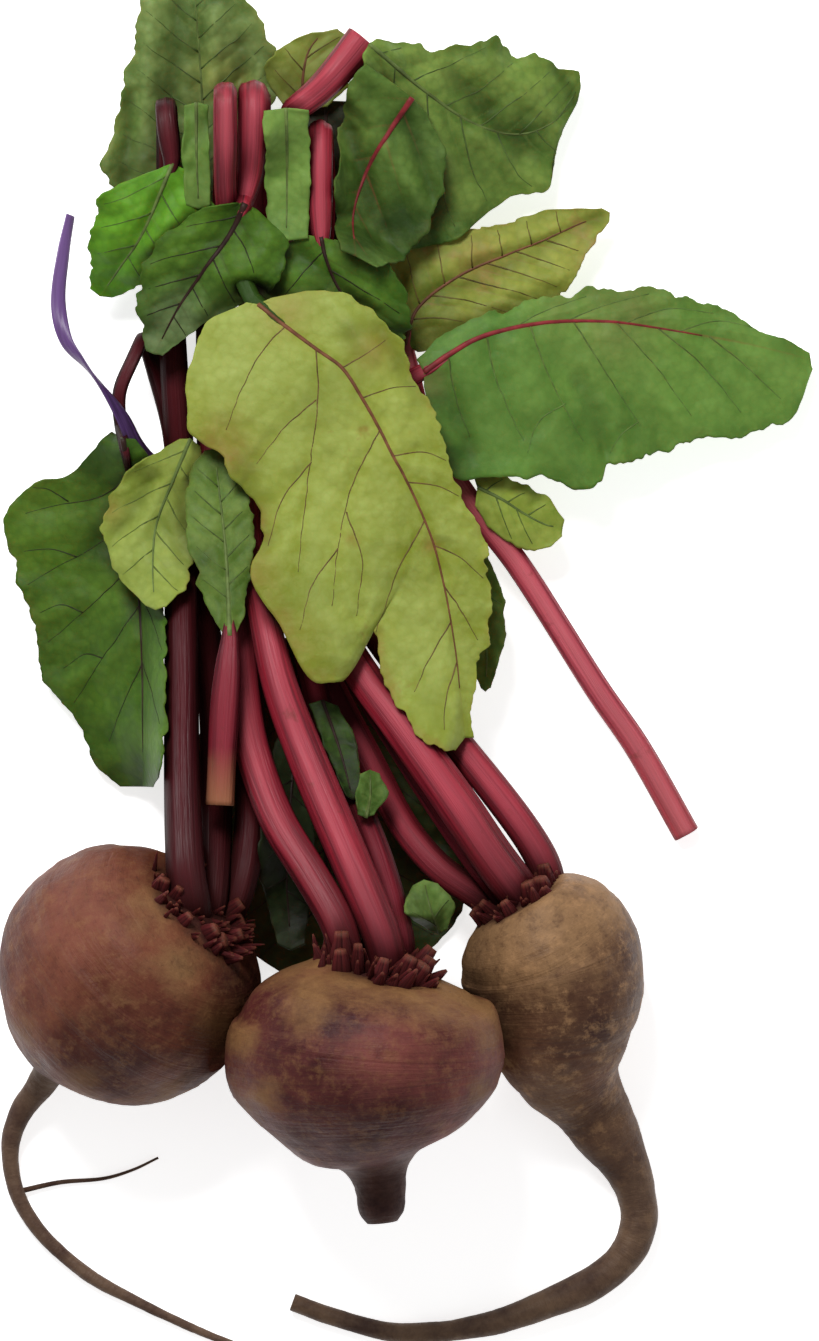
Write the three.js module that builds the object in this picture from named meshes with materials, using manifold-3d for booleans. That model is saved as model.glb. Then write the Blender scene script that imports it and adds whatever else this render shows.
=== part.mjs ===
// A tied bunch of three beetroots with their stalks and folded-back leaves, lying on a flat surface.
// Millimetres, +Z up, +Y towards the leaves, origin under the middle of the bunch on the surface.

import * as THREE from 'three';
import { mergeVertices } from 'three/addons/utils/BufferGeometryUtils.js';
import Module from 'manifold-3d';

const wasm = await Module();
wasm.setup();

// Driving dimensions
const GRID_STEP = 0.28;          // one step of the layout grid, columns to the right and rows downwards
const ORIGIN_COLUMN = 407;
const ORIGIN_ROW = 656;
const GAP = 0.3;                 // air between two pieces that touch
const BLADE_THICKNESS = 0.8;
const MIDRIB_THICKNESS = 2.6;    // at the base of a blade, thinning to the blade's own at its tip
const STALK_FLATNESS = 0.8;      // a stalk's thickness over its width
const STALK_SIDES = 7;
const BEET_SIDES = 16;
const STUB_SIDES = 5;
const UNDER_BLADE = 6;           // length of a fold's end that its own blade covers
const BLADE_ROWS = 20;           // strips along a blade; a long edge takes more and a short one fewer
const BLADE_SHARES = [-1, -0.5, 0, 0.5, 1];   // places across a blade, from its left edge to its right
const TIE_WIDTH = 5;
const TIE_THICKNESS = 0.9;
const TIE_ROW = 465;
const TIE_COLUMNS = [157, 301];
const TIE_TOP = 17.3;

// Colours
const BEET_RED = 0x6b3a33;
const BEET_BROWN = 0x7a5240;
const STALK_RED = 0xa32a42;
const LEAF_GREEN = 0x4f8a3a;
const LEAF_DARK = 0x2f5a24;
const LEAF_BRIGHT = 0x5c9a22;
const LEAF_YELLOW = 0x97a44c;
const TIE_VIOLET = 0x6b3a86;

// Beets: column, row, height and radius from the crown to the end of the tail
const BEETS = [
  {
    name: 'beet_front', colour: BEET_RED, crown: [376, 966, 59.5, 15], stubs: 13, stubLength: 12,
    rings: [
      [372, 965, 59.5, 9], [371, 968, 59.3, 15], [370, 975, 59, 22], [369, 985, 58.6, 28],
      [368, 1000, 58.1, 33.8], [368, 1022, 57.2, 37.6], [366, 1055, 56.2, 39], [368, 1088, 55.2, 36.8],
      [370, 1116, 54.2, 30], [372, 1138, 53.2, 21.8], [375, 1154, 52.2, 12.8], [377, 1168, 51.5, 8.8],
      [380, 1190, 51, 7], [381, 1210, 50.5, 6.2], [382, 1220, 50.3, 4.4],
    ],
  },
  {
    name: 'beet_left', colour: BEET_RED, crown: [200, 906, 48.5, 15], stubs: 12, stubLength: 8,
    rings: [
      [198, 902, 49.5, 9], [192, 908, 48.4, 18], [182, 918, 46.4, 26.5], [167, 934, 43.3, 32.5],
      [149, 953, 38.9, 35.8], [130, 972, 35.3, 36.8], [111, 992, 32.2, 36.3], [94, 1010, 29.7, 33.8],
      [80, 1024, 26.8, 28.6], [68, 1037, 23.5, 20.6], [58, 1051, 19.5, 11.6], [50, 1067, 15, 5.8],
      [36, 1090, 10, 4.1], [19, 1113, 7, 3.5], [8, 1138, 5, 2.9], [6, 1170, 3.6, 2.4],
      [14, 1204, 2.6, 2.3], [38, 1242, 2.2, 2], [82, 1281, 2, 1.8], [132, 1309, 1.7, 1.5],
      [200, 1341, 1.4, 1.3], [256, 1363, 1.1, 1],
    ],
    rootlet: [
      [14, 1198, 1.6, 0.9], [55, 1189, 1, 0.8], [100, 1185, 0.9, 0.7], [130, 1176, 0.8, 0.65],
      [155, 1164, 0.8, 0.6],
    ],
  },
  {
    name: 'beet_right', colour: BEET_BROWN, crown: [516, 897, 31, 12], stubs: 10, stubLength: 8,
    rings: [
      [518, 894, 31, 7], [521, 899, 30.5, 13], [528, 911, 30, 19], [538, 930, 28.5, 23.5],
      [549, 955, 26, 25.8], [556, 985, 24.7, 25.6], [559, 1012, 23.6, 24], [562, 1040, 21.5, 20.6],
      [571, 1075, 17, 15.6], [590, 1108, 12.5, 10.8], [610, 1138, 10, 8.9], [628, 1170, 7.5, 6.8],
      [639, 1200, 5.8, 5.4], [641, 1230, 5.1, 5], [627, 1263, 5.1, 5], [594, 1291, 5, 4.9],
      [545, 1313, 4.3, 4.2], [480, 1334, 3.4, 3.3], [400, 1341, 2.9, 2.8], [335, 1326, 2.7, 2.6],
      [291, 1310, 2.6, 2.5],
    ],
  },
];

// Leaves: a stalk row is column, row, height and half width, from the crown up through the tie
// A fold is the part of the stalk that turns back over what lies below it
// A blade row is the left edge's column and row, the midrib's column, row and height, and the right edge's
const LEAVES = [
  {
    name: 'leaf_lower_left', colour: LEAF_DARK, droop: 5, ruffle: 1.6, tooth: 1.6,
    stalk: [
      [208, 928, 40, 3.4], [213, 900, 44, 3.8], [215, 820, 32, 4.2], [212, 700, 16, 4.2],
      [192, 560, 6, 4], [178, 465, 4.5, 4], [170, 420, 4.5, 3.4], [156, 372, 4.5, 3],
    ],
    fold: [
      [146, 345, 7, 2.5], [141, 333, 12, 2.3], [139, 338, 17, 2.3], [128, 364, 19.5, 2.3],
      [116, 390, 19.8, 2.3], [119, 425, 19, 2.1],
    ],
    blade: [
      [110, 430, 122, 438, 18, 134, 438], [88, 452, 126, 462, 17, 148, 460],
      [62, 474, 129, 482, 16, 154, 478], [30, 482, 132, 504, 15, 158, 505],
      [6, 510, 134, 528, 13.5, 160, 535], [6, 556, 136, 560, 11, 163, 575],
      [24, 600, 138, 602, 9.5, 165, 615], [32, 640, 140, 640, 8, 166, 655],
      [42, 686, 141, 684, 6.5, 165, 700], [68, 714, 141, 716, 5.6, 164, 735],
      [92, 764, 141, 756, 4.6, 161, 770], [116, 788, 140, 788, 4, 152, 788],
    ],
  },
  {
    name: 'leaf_top', colour: LEAF_GREEN, droop: 0, ruffle: 1.2, tooth: 1.8,
    stalk: [
      [222, 930, 37, 3.4], [238, 898, 39, 3.8], [249, 840, 35, 4.2], [250, 740, 24, 4.2],
      [238, 600, 9.5, 4.1], [212, 465, 4.5, 4.1], [208, 350, 4.5, 3.8], [205, 225, 4.8, 3],
    ],
    fold: [],
    blade: [
      [196, 216, 205, 216, 5, 214, 216], [152, 196, 204, 188, 5, 250, 196],
      [106, 178, 203, 150, 5.2, 264, 150], [104, 145, 201, 110, 5.5, 269, 104],
      [122, 85, 199, 70, 8, 278, 66], [130, 35, 196, 30, 11, 270, 30],
      [142, -12, 193, -10, 13, 240, -12], [165, -38, 190, -34, 13, 214, -36],
      [184, -46, 190, -46, 13, 197, -46],
    ],
  },
  {
    name: 'leaf_upper_right', colour: LEAF_GREEN, droop: 5, ruffle: 2.6, tooth: 2.2,
    stalk: [
      [504, 922, 21, 3.8], [484, 900, 25, 4], [442, 872, 25, 4], [404, 828, 20.5, 4],
      [371, 765, 16, 4], [335, 697, 12, 4], [277, 570, 5, 4.1], [246, 465, 4.5, 4.1],
      [262, 360, 4.5, 3.9], [284, 260, 4.5, 3.7], [288, 190, 4.8, 3.6],
    ],
    fold: [
      [288, 150, 6, 3.6], [290, 121, 9, 3.7], [293, 109, 18, 3.9], [304, 102, 27.5, 4.2],
      [322, 86, 31.5, 4.6], [344, 61, 32, 5.2], [363, 37, 31, 5.6],
    ],
    blade: [
      [376, 38, 369, 43, 30, 362, 55], [440, 45, 425, 88, 25, 384, 130],
      [492, 38, 465, 115, 20, 398, 236], [520, 50, 500, 128, 16, 446, 240],
      [552, 58, 530, 128, 13, 505, 196], [578, 64, 556, 116, 10, 549, 186],
      [583, 80, 575, 100, 8, 557, 140], [580, 94, 578, 99, 8, 573, 108],
    ],
  },
  {
    name: 'leaf_right', colour: LEAF_GREEN, droop: 4, ruffle: 2, tooth: 1.4,
    stalk: [
      [552, 908, 24, 4.4], [548, 872, 28, 4.8], [530, 838, 29, 4.8], [500, 797, 29, 4.8],
      [457, 743, 26, 4.6], [380, 640, 14, 4.2], [312, 540, 6, 4.1], [280, 465, 4.5, 4.1],
      [284, 443, 4.5, 3.8], [304, 424, 4.5, 3.6], [335, 410, 8, 3.4],
    ],
    fold: [[375, 392, 20, 3.1], [400, 381, 25, 2.8], [416, 374, 27, 2.6]],
    blade: [
      [420, 362, 424, 371, 28, 424, 384], [450, 336, 448, 354, 28, 434, 430],
      [484, 315, 480, 336, 27, 460, 476], [512, 305, 512, 327, 26, 520, 474],
      [545, 297, 545, 321, 24, 566, 483], [572, 293, 574, 319, 23, 600, 483],
      [592, 290, 592, 319, 22, 611, 458], [615, 286, 617, 320, 20.5, 636, 461],
      [648, 286, 650, 324, 18, 664, 453], [685, 296, 688, 330, 16, 698, 434],
      [745, 316, 745, 340, 12, 762, 432], [790, 336, 790, 350, 9, 800, 410],
      [814, 350, 815, 356, 7.5, 816, 364],
    ],
  },
  {
    name: 'leaf_bright_left', colour: LEAF_BRIGHT, droop: 3, ruffle: 1.6, tooth: 1.6,
    stalk: [
      [196, 928, 44, 4.8], [191, 905, 52, 5.8], [186, 870, 55, 5.6], [182, 780, 46, 5.2],
      [180, 620, 30, 4.6], [178, 520, 17, 4.2], [178, 465, 12.2, 4.1], [172, 370, 12.4, 4],
      [166, 235, 13, 3.6], [165, 150, 13.5, 3.3],
    ],
    fold: [
      [165, 113, 17, 3.2], [165, 101, 24, 3.1], [165, 110, 31, 3.1], [168, 136, 32, 3.1],
      [171, 156, 31.5, 2.6],
    ],
    blade: [
      [160, 166, 172, 162, 31, 184, 168], [112, 186, 160, 190, 31, 212, 205],
      [94, 218, 140, 235, 28, 208, 255], [92, 258, 118, 265, 20, 155, 280],
      [88, 286, 97, 293, 12, 107, 294],
    ],
  },
  {
    name: 'leaf_front', colour: LEAF_YELLOW, droop: 4, ruffle: 1.8, tooth: 1.6,
    stalk: [
      [352, 980, 51, 4], [347, 950, 57, 4.8], [338, 920, 57, 5], [306, 865, 51.5, 5],
      [278, 820, 46, 5], [251, 745, 37, 4.8], [243, 690, 33.5, 4.5], [236, 620, 27.5, 4.2],
      [216, 525, 16, 4.1], [212, 465, 12.2, 4.1], [216, 350, 12.4, 4], [222, 235, 13, 3.5],
      [223, 150, 13.5, 3.1],
    ],
    fold: [
      [225, 101, 17, 3.1], [226, 89, 24, 3.3], [226, 97, 31, 3.3], [226, 140, 33, 3.3],
      [226, 203, 33, 2.9], [236, 262, 33, 2.6], [252, 298, 35, 2.4],
    ],
    blade: [
      [246, 302, 258, 304, 38, 270, 298], [206, 324, 285, 326, 39, 318, 290],
      [190, 372, 316, 349, 40, 370, 306], [190, 425, 342, 368, 40, 400, 346],
      [222, 462, 362, 398, 39.8, 418, 388], [255, 508, 380, 430, 39, 436, 424],
      [258, 548, 393, 456, 38.4, 450, 456], [250, 582, 401, 470, 38, 458, 476],
      [270, 620, 407, 482, 37.6, 466, 494], [300, 674, 412, 492, 37.3, 472, 508],
      [330, 684, 418, 505, 37, 478, 522], [354, 668, 425, 521, 36.5, 484, 540],
      [373, 631, 434, 545, 35.8, 488, 560], [382, 676, 444, 585, 34.5, 491, 600],
      [396, 708, 451, 622, 33.6, 487, 636], [420, 736, 457, 662, 32.6, 476, 672],
      [442, 750, 461, 702, 32, 471, 706], [456, 750, 465, 738, 31, 474, 738],
    ],
  },
  {
    name: 'leaf_upper_left', colour: LEAF_BRIGHT, droop: 3, ruffle: 1.6, tooth: 1.4,
    stalk: [
      [388, 986, 50, 4.4], [386, 950, 58, 5], [375, 918, 58, 5.2], [350, 860, 54.5, 5.2],
      [325, 802, 50, 5.2], [300, 742, 45, 5], [279, 685, 42, 4.7], [264, 620, 36.5, 4.2],
      [250, 540, 20.5, 4.1], [246, 465, 12.2, 4.1], [250, 350, 12.4, 4.1], [252, 235, 13, 4],
      [251, 150, 13.5, 4],
    ],
    fold: [
      [253, 102, 17, 4], [254, 90, 24.5, 4.2], [254, 97, 32, 4.4], [254, 130, 34, 4.4],
      [251, 170, 34, 3.8], [245, 198, 34, 2.6],
    ],
    blade: [
      [234, 204, 245, 203, 34, 256, 208], [190, 214, 230, 234, 35, 290, 246],
      [150, 248, 205, 268, 34, 270, 288], [134, 298, 177, 308, 31, 215, 318],
      [146, 350, 153, 353, 27, 162, 354],
    ],
  },
  {
    name: 'leaf_middle', colour: LEAF_DARK, droop: 3, ruffle: 1.4, tooth: 1.2,
    stalk: [
      [534, 914, 28, 4.8], [516, 888, 35, 5.6], [490, 853, 37.5, 5.6], [460, 808, 38, 5.6],
      [402, 727, 35, 5.2], [358, 668, 28, 4.7], [302, 560, 18, 4.2], [280, 465, 12.2, 4.1],
      [302, 350, 12.4, 4], [319, 235, 13, 3.8], [321, 175, 13.5, 3.7],
    ],
    fold: [
      [320, 138, 17.5, 3.5], [320, 126, 24.5, 3.4], [320, 133, 32, 3.4], [320, 165, 34, 3.4],
      [320, 205, 34.5, 3.3], [321, 230, 34.5, 2.7],
    ],
    blade: [
      [306, 234, 321, 236, 34, 336, 240], [268, 252, 326, 258, 33, 378, 262],
      [238, 290, 340, 290, 31, 402, 300], [262, 335, 362, 318, 27, 410, 330],
      [375, 348, 388, 340, 24, 400, 340],
    ],
  },
  {
    name: 'leaf_yellow', colour: LEAF_YELLOW, droop: 1, ruffle: 1.4, tooth: 1.6,
    stalk: [
      [690, 836, 3.3, 3.6], [640, 748, 6, 3.6], [600, 690, 8.5, 3.6], [520, 565, 14, 3.4],
      [470, 500, 16, 3.2], [425, 425, 14.5, 3], [406, 350, 13, 2.6],
    ],
    fold: [],
    blade: [
      [396, 342, 405, 342, 13, 415, 344], [386, 296, 418, 305, 13.5, 455, 334],
      [400, 250, 460, 272, 13.5, 505, 320], [462, 225, 505, 252, 13, 552, 306],
      [505, 220, 545, 236, 12, 574, 276], [545, 206, 580, 220, 11, 594, 240],
      [604, 204, 612, 208, 10, 611, 216],
    ],
  },
  {
    name: 'leaf_cut_small', colour: LEAF_GREEN, droop: 2, ruffle: 1, tooth: 1,
    stalk: [[220, 805, 46, 4], [224, 720, 45.5, 4.2], [228, 668, 44.5, 3.7], [230, 640, 43.5, 2.7]],
    fold: [],
    blade: [
      [223, 634, 230, 636, 42, 237, 634], [202, 592, 228, 590, 39, 250, 586],
      [187, 535, 224, 535, 36, 254, 532], [186, 480, 218, 485, 33, 244, 482],
      [204, 450, 214, 448, 31, 226, 450],
    ],
  },
  {
    name: 'leaf_dark_centre', colour: LEAF_DARK, droop: 1, ruffle: 0.8, tooth: 0.8,
    blade: [
      [308, 704, 322, 700, 24, 338, 706], [326, 750, 340, 752, 26, 356, 745],
      [347, 796, 353, 800, 29, 360, 798],
    ],
  },
  {
    name: 'leaf_behind_fold', colour: LEAF_YELLOW, droop: 1, ruffle: 0.8, tooth: 1,
    blade: [
      [290, 100, 300, 100, 9, 312, 98], [264, 66, 302, 72, 11, 350, 70],
      [280, 42, 308, 45, 12, 353, 40], [312, 27, 322, 26, 13, 336, 23],
    ],
  },
  {
    name: 'leaf_dark_inner', colour: LEAF_DARK, droop: 2, ruffle: 1, tooth: 1,
    blade: [
      [286, 712, 298, 706, 20, 309, 712], [268, 780, 291, 785, 22, 313, 785],
      [262, 870, 286, 875, 24, 312, 875], [276, 945, 291, 952, 27, 305, 945],
    ],
  },
  {
    name: 'leaflet_centre', colour: LEAF_GREEN, droop: 1.5, ruffle: 0.8, tooth: 1,
    blade: [
      [358, 814, 366, 818, 30, 374, 814], [356, 796, 370, 798, 31, 387, 794],
      [360, 774, 370, 770, 31, 380, 774],
    ],
  },
  {
    name: 'leaflet_crown', colour: LEAF_GREEN, droop: 1.5, ruffle: 1, tooth: 1.2,
    blade: [
      [430, 932, 440, 934, 31, 448, 930], [406, 908, 430, 908, 33, 455, 904],
      [412, 886, 424, 880, 33, 438, 884],
    ],
  },
  {
    name: 'leaf_under_front', colour: LEAF_GREEN, droop: 1.5, ruffle: 1, tooth: 1,
    blade: [
      [463, 545, 472, 542, 22, 482, 544], [461, 600, 482, 598, 22, 503, 592],
      [468, 652, 487, 650, 20, 504, 645], [481, 688, 486, 692, 18, 491, 687],
    ],
  },
  {
    name: 'leaf_lobed', colour: LEAF_YELLOW, droop: 1.5, ruffle: 1.4, tooth: 1.4,
    blade: [
      [472, 470, 478, 486, 20, 476, 505], [505, 474, 502, 498, 20, 494, 530],
      [530, 486, 524, 512, 18, 520, 548], [552, 500, 548, 524, 17, 548, 547],
      [566, 518, 564, 526, 16, 563, 534],
    ],
  },
  {
    name: 'leaf_strip', colour: LEAF_GREEN, droop: 1, ruffle: 0.6, tooth: 0.6,
    blade: [
      [268, 112, 286, 109, 35, 305, 112], [269, 170, 287, 170, 34, 306, 170],
      [270, 236, 286, 240, 33, 303, 238],
    ],
  },
  {
    name: 'leaf_strip_left', colour: LEAF_GREEN, droop: 1, ruffle: 0.6, tooth: 0.6,
    blade: [
      [184, 104, 196, 101, 33, 208, 104], [182, 150, 196, 150, 33, 209, 150],
      [186, 204, 198, 208, 32, 210, 204],
    ],
  },
  {
    name: 'leaf_dark_under', colour: LEAF_DARK, droop: 0.5, ruffle: 0.5, tooth: 0.6,
    blade: [
      [305, 108, 325, 106, 5, 346, 108], [304, 170, 326, 170, 5, 350, 170],
      [305, 246, 326, 250, 5, 348, 246],
    ],
  },
  {
    name: 'leaf_dark_low', colour: LEAF_DARK, droop: 0.4, ruffle: 0.5, tooth: 1.6,
    blade: [
      [268, 640, 292, 636, 1.8, 316, 642], [228, 690, 300, 690, 1.8, 392, 692],
      [192, 750, 312, 755, 1.8, 446, 752], [190, 830, 322, 835, 1.8, 478, 824],
      [214, 900, 330, 905, 1.8, 470, 886], [244, 950, 336, 960, 1.8, 446, 938],
      [292, 985, 338, 992, 1.8, 388, 984],
    ],
  },
  {
    name: 'leaf_inner_right', colour: LEAF_DARK, droop: 3, ruffle: 1.6, tooth: 1.4,
    blade: [
      [366, 62, 412, 96, 27, 428, 112], [344, 96, 390, 128, 27, 446, 155],
      [338, 138, 366, 170, 25, 432, 212], [337, 205, 353, 212, 23, 400, 250],
      [341, 250, 356, 256, 22, 373, 262],
    ],
  },
  {
    name: 'leaf_small_yellow', colour: LEAF_YELLOW, droop: 3, ruffle: 1.6, tooth: 1.6,
    blade: [
      [180, 438, 190, 438, 30, 200, 446], [130, 470, 172, 480, 28, 204, 490],
      [98, 520, 155, 525, 26, 198, 540], [112, 570, 152, 570, 24, 190, 580],
      [146, 606, 155, 610, 23, 166, 606],
    ],
  },
];
// Stalks without a blade of their own, broken off under the leaves
const BARE_STALKS = [
  {
    name: 'stalk_middle', colour: STALK_RED,
    stalk: [
      [402, 972, 48, 3.6], [399, 935, 49, 3.8], [378, 858, 38, 3.8], [348, 782, 27, 3.7],
      [322, 715, 21, 3.6], [303, 640, 20, 3.4],
    ],
  },
  {
    name: 'stalk_right_inner', colour: STALK_RED,
    stalk: [
      [516, 918, 24, 3.2], [502, 893, 30, 3.5], [476, 860, 31, 3.6], [434, 800, 28, 3.6],
      [388, 727, 23, 3.5], [348, 664, 16, 3.4], [336, 642, 14.5, 3.2],
    ],
  },
];
const TIE_TAIL = [[168, 468, 17, 2.3], [150, 463, 20, 2.7], [135, 446, 25, 2.9], [122, 418, 28, 2.7],
  [106, 393, 27.5, 2.3], [64, 338, 24, 2], [56, 300, 22, 2], [61, 250, 20, 1.9], [68, 212, 18, 1.7]];
const TIE_KNOT = [[178, 460, 17.5, 3.4], [168, 466, 18.6, 4], [158, 470, 18, 3.2]];

// What lies on what, from the surface upwards
const PILE_ORDER = [
  ['blade', 'leaf_dark_low'], ['roots'], ['stalk', 'leaf_lower_left'], ['stalk', 'leaf_top'],
  ['stalk', 'leaf_upper_right'], ['stalk', 'leaf_right'], ['stalk', 'stalk_middle'],
  ['stalk', 'stalk_right_inner'], ['blade', 'leaf_top'], ['blade', 'leaf_dark_under'],
  ['blade', 'leaf_dark_inner'], ['blade', 'leaf_dark_centre'], ['blade', 'leaflet_centre'],
  ['stalk', 'leaf_bright_left'], ['stalk', 'leaf_front'], ['stalk', 'leaf_upper_left'],
  ['stalk', 'leaf_middle'], ['stalk', 'leaf_yellow'], ['stalk', 'leaf_cut_small'],
  ['fold', 'leaf_lower_left'], ['tie'], ['blade', 'leaf_behind_fold'], ['blade', 'leaf_yellow'],
  ['blade', 'leaf_under_front'], ['blade', 'leaf_lobed'], ['blade', 'leaflet_crown'],
  ['fold', 'leaf_bright_left'], ['fold', 'leaf_middle'], ['fold', 'leaf_upper_right'],
  ['fold', 'leaf_right'], ['fold', 'leaf_upper_left'], ['blade', 'leaf_bright_left'],
  ['blade', 'leaf_middle'], ['fold', 'leaf_front'], ['blade', 'leaf_strip'],
  ['blade', 'leaf_strip_left'], ['blade', 'leaf_upper_left'], ['blade', 'leaf_upper_right'],
  ['blade', 'leaf_inner_right'], ['blade', 'leaf_lower_left'], ['blade', 'leaf_right'],
  ['blade', 'leaf_small_yellow'], ['blade', 'leaf_cut_small'], ['blade', 'leaf_front'],
];

// Curves

function place([column, row, ...rest]) {
  return [(column - ORIGIN_COLUMN) * GRID_STEP, (ORIGIN_ROW - row) * GRID_STEP, ...rest];
}

function distance(a, b) {
  return Math.hypot(a[0] - b[0], a[1] - b[1], (a[2] ?? 0) - (b[2] ?? 0));
}

// A smooth curve through rows of numbers, read at a share of its length from 0 to 1
function curveThrough(rows) {
  const at = [0];
  for (let i = 1; i < rows.length; i += 1) {
    at.push(at[i - 1] + Math.max(distance(rows[i], rows[i - 1]), 1e-6));
  }
  const total = at[at.length - 1];
  const slope = rows.map((row, i) => {
    const before = Math.max(i - 1, 0);
    const after = Math.min(i + 1, rows.length - 1);
    return row.map((_, k) => (rows[after][k] - rows[before][k]) / (at[after] - at[before]));
  });
  return (share) => {
    const target = Math.min(Math.max(share, 0), 1) * total;
    let i = 0;
    while (i < rows.length - 2 && at[i + 1] < target) {
      i += 1;
    }
    const span = at[i + 1] - at[i];
    const t = (target - at[i]) / span;
    const fromStart = (1 + 2 * t) * (1 - t) ** 2;
    const toEnd = t * t * (3 - 2 * t);
    const leave = t * (1 - t) ** 2 * span;
    const arrive = t * t * (t - 1) * span;
    return rows[i].map((value, k) => fromStart * value + toEnd * rows[i + 1][k]
      + leave * slope[i][k] + arrive * slope[i + 1][k]);
  };
}

// Points along a curve, closer where it bends
function walk(rows, longestStep, sharpestTurn) {
  const curve = curveThrough(rows);
  const samples = [];
  const count = 160;
  for (let i = 0; i <= count; i += 1) {
    samples.push(curve(i / count));
  }
  const heading = (i) => {
    const a = samples[Math.max(i - 1, 0)];
    const b = samples[Math.min(i + 1, count)];
    return new THREE.Vector3(b[0] - a[0], b[1] - a[1], b[2] - a[2]).normalize();
  };
  const kept = [samples[0]];
  let lastHeading = heading(0);
  for (let i = 1; i < count; i += 1) {
    const long = distance(samples[i], kept[kept.length - 1]) > longestStep;
    if (long || heading(i).angleTo(lastHeading) > sharpestTurn) {
      kept.push(samples[i]);
      lastHeading = heading(i);
    }
  }
  if (distance(kept[kept.length - 1], samples[count]) < 1) {
    kept.pop();
  }
  kept.push(samples[count]);
  return kept;
}

// Closed bodies

function bodyFrom(points, triangles) {
  let volume = 0;
  for (const [a, b, c] of triangles) {
    volume += points[a].dot(new THREE.Vector3().crossVectors(points[b], points[c]));
  }
  const geometry = new THREE.BufferGeometry();
  geometry.setAttribute('position', new THREE.Float32BufferAttribute(points.flatMap((p) => p.toArray()), 3));
  geometry.setIndex(triangles.flatMap(([a, b, c]) => (volume > 0 ? [a, b, c] : [a, c, b])));
  return geometry;
}

function toSolid(geometry) {
  const merged = mergeVertices(geometry, 1e-4);
  return new wasm.Manifold(new wasm.Mesh({
    numProp: 3,
    vertProperties: new Float32Array(merged.attributes.position.array),
    triVerts: new Uint32Array(merged.index.array),
  }));
}

function toGeometry(solid) {
  const mesh = solid.getMesh();
  const geometry = new THREE.BufferGeometry();
  geometry.setAttribute('position', new THREE.BufferAttribute(new Float32Array(mesh.vertProperties), 3));
  geometry.setIndex(new THREE.BufferAttribute(new Uint32Array(mesh.triVerts), 1));
  return geometry;
}

function largestBody(solid) {
  const bodies = solid.decompose();
  return bodies.reduce((best, body) => (body.volume() > best.volume() ? body : best));
}

// A closed tube along rows of x, y, z and half width, swelled all round by grow
function tube(rows, { sides, flatness = 1, grow = 0, wobble = () => 1, floor = -Infinity }) {
  const centres = rows.map((row) => new THREE.Vector3(row[0], row[1], row[2]));
  const headings = centres.map((_, i) => {
    const before = centres[Math.max(i - 1, 0)];
    const after = centres[Math.min(i + 1, centres.length - 1)];
    return after.clone().sub(before).normalize();
  });
  const last = centres.length - 1;
  centres[0].addScaledVector(headings[0], -grow);
  centres[last].addScaledVector(headings[last], grow);
  const side = new THREE.Vector3().crossVectors(headings[0], new THREE.Vector3(0, 0, 1)).normalize();
  const points = [];
  const triangles = [];
  for (let i = 0; i <= last; i += 1) {
    if (i > 0) {
      side.applyQuaternion(new THREE.Quaternion().setFromUnitVectors(headings[i - 1], headings[i]));
    }
    const up = new THREE.Vector3().crossVectors(side, headings[i]).normalize();
    for (let k = 0; k < sides; k += 1) {
      const angle = (2 * Math.PI * (k + 0.5)) / sides;
      const reach = rows[i][3] * wobble(angle, i) + grow;
      const point = centres[i].clone()
        .addScaledVector(side, Math.cos(angle) * reach)
        .addScaledVector(up, Math.sin(angle) * (rows[i][3] * flatness * wobble(angle, i) + grow));
      point.z = Math.max(point.z, floor);
      points.push(point);
    }
  }
  const ring = (i, k) => i * sides + (k % sides);
  for (let i = 0; i < last; i += 1) {
    for (let k = 0; k < sides; k += 1) {
      triangles.push([ring(i, k), ring(i + 1, k), ring(i + 1, k + 1)]);
      triangles.push([ring(i, k), ring(i + 1, k + 1), ring(i, k + 1)]);
    }
  }
  for (let k = 1; k < sides - 1; k += 1) {
    triangles.push([ring(0, 0), ring(0, k), ring(0, k + 1)]);
    triangles.push([ring(last, 0), ring(last, k + 1), ring(last, k)]);
  }
  return bodyFrom(points, triangles);
}

// The pile: the height of whatever lies highest over each square millimetre

const PILE_CELL = 1;
const PILE_HALF_WIDTH = 135;
const PILE_HALF_LENGTH = 220;
const PILE_COLUMNS = Math.ceil((2 * PILE_HALF_WIDTH) / PILE_CELL);
const PILE_ROWS = Math.ceil((2 * PILE_HALF_LENGTH) / PILE_CELL);
const pile = new Float32Array(PILE_COLUMNS * PILE_ROWS);

function spreadOver(a, b, c, spacing, visit) {
  const longest = Math.max(a.distanceTo(b), b.distanceTo(c), c.distanceTo(a));
  const count = Math.max(1, Math.ceil(longest / spacing));
  for (let i = 0; i <= count; i += 1) {
    for (let j = 0; j <= count - i; j += 1) {
      visit(i / count, j / count, (count - i - j) / count);
    }
  }
}

function layOnPile(geometry) {
  const position = geometry.attributes.position;
  const index = geometry.index.array;
  const [a, b, c] = [new THREE.Vector3(), new THREE.Vector3(), new THREE.Vector3()];
  for (let t = 0; t < index.length; t += 3) {
    a.fromBufferAttribute(position, index[t]);
    b.fromBufferAttribute(position, index[t + 1]);
    c.fromBufferAttribute(position, index[t + 2]);
    spreadOver(a, b, c, 0.6, (wa, wb, wc) => {
      const x = a.x * wa + b.x * wb + c.x * wc;
      const y = a.y * wa + b.y * wb + c.y * wc;
      const z = a.z * wa + b.z * wb + c.z * wc;
      const column = Math.floor((x + PILE_HALF_WIDTH) / PILE_CELL);
      const row = Math.floor((y + PILE_HALF_LENGTH) / PILE_CELL);
      const cell = row * PILE_COLUMNS + column;
      pile[cell] = Math.max(pile[cell], z);
    });
  }
}

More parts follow.
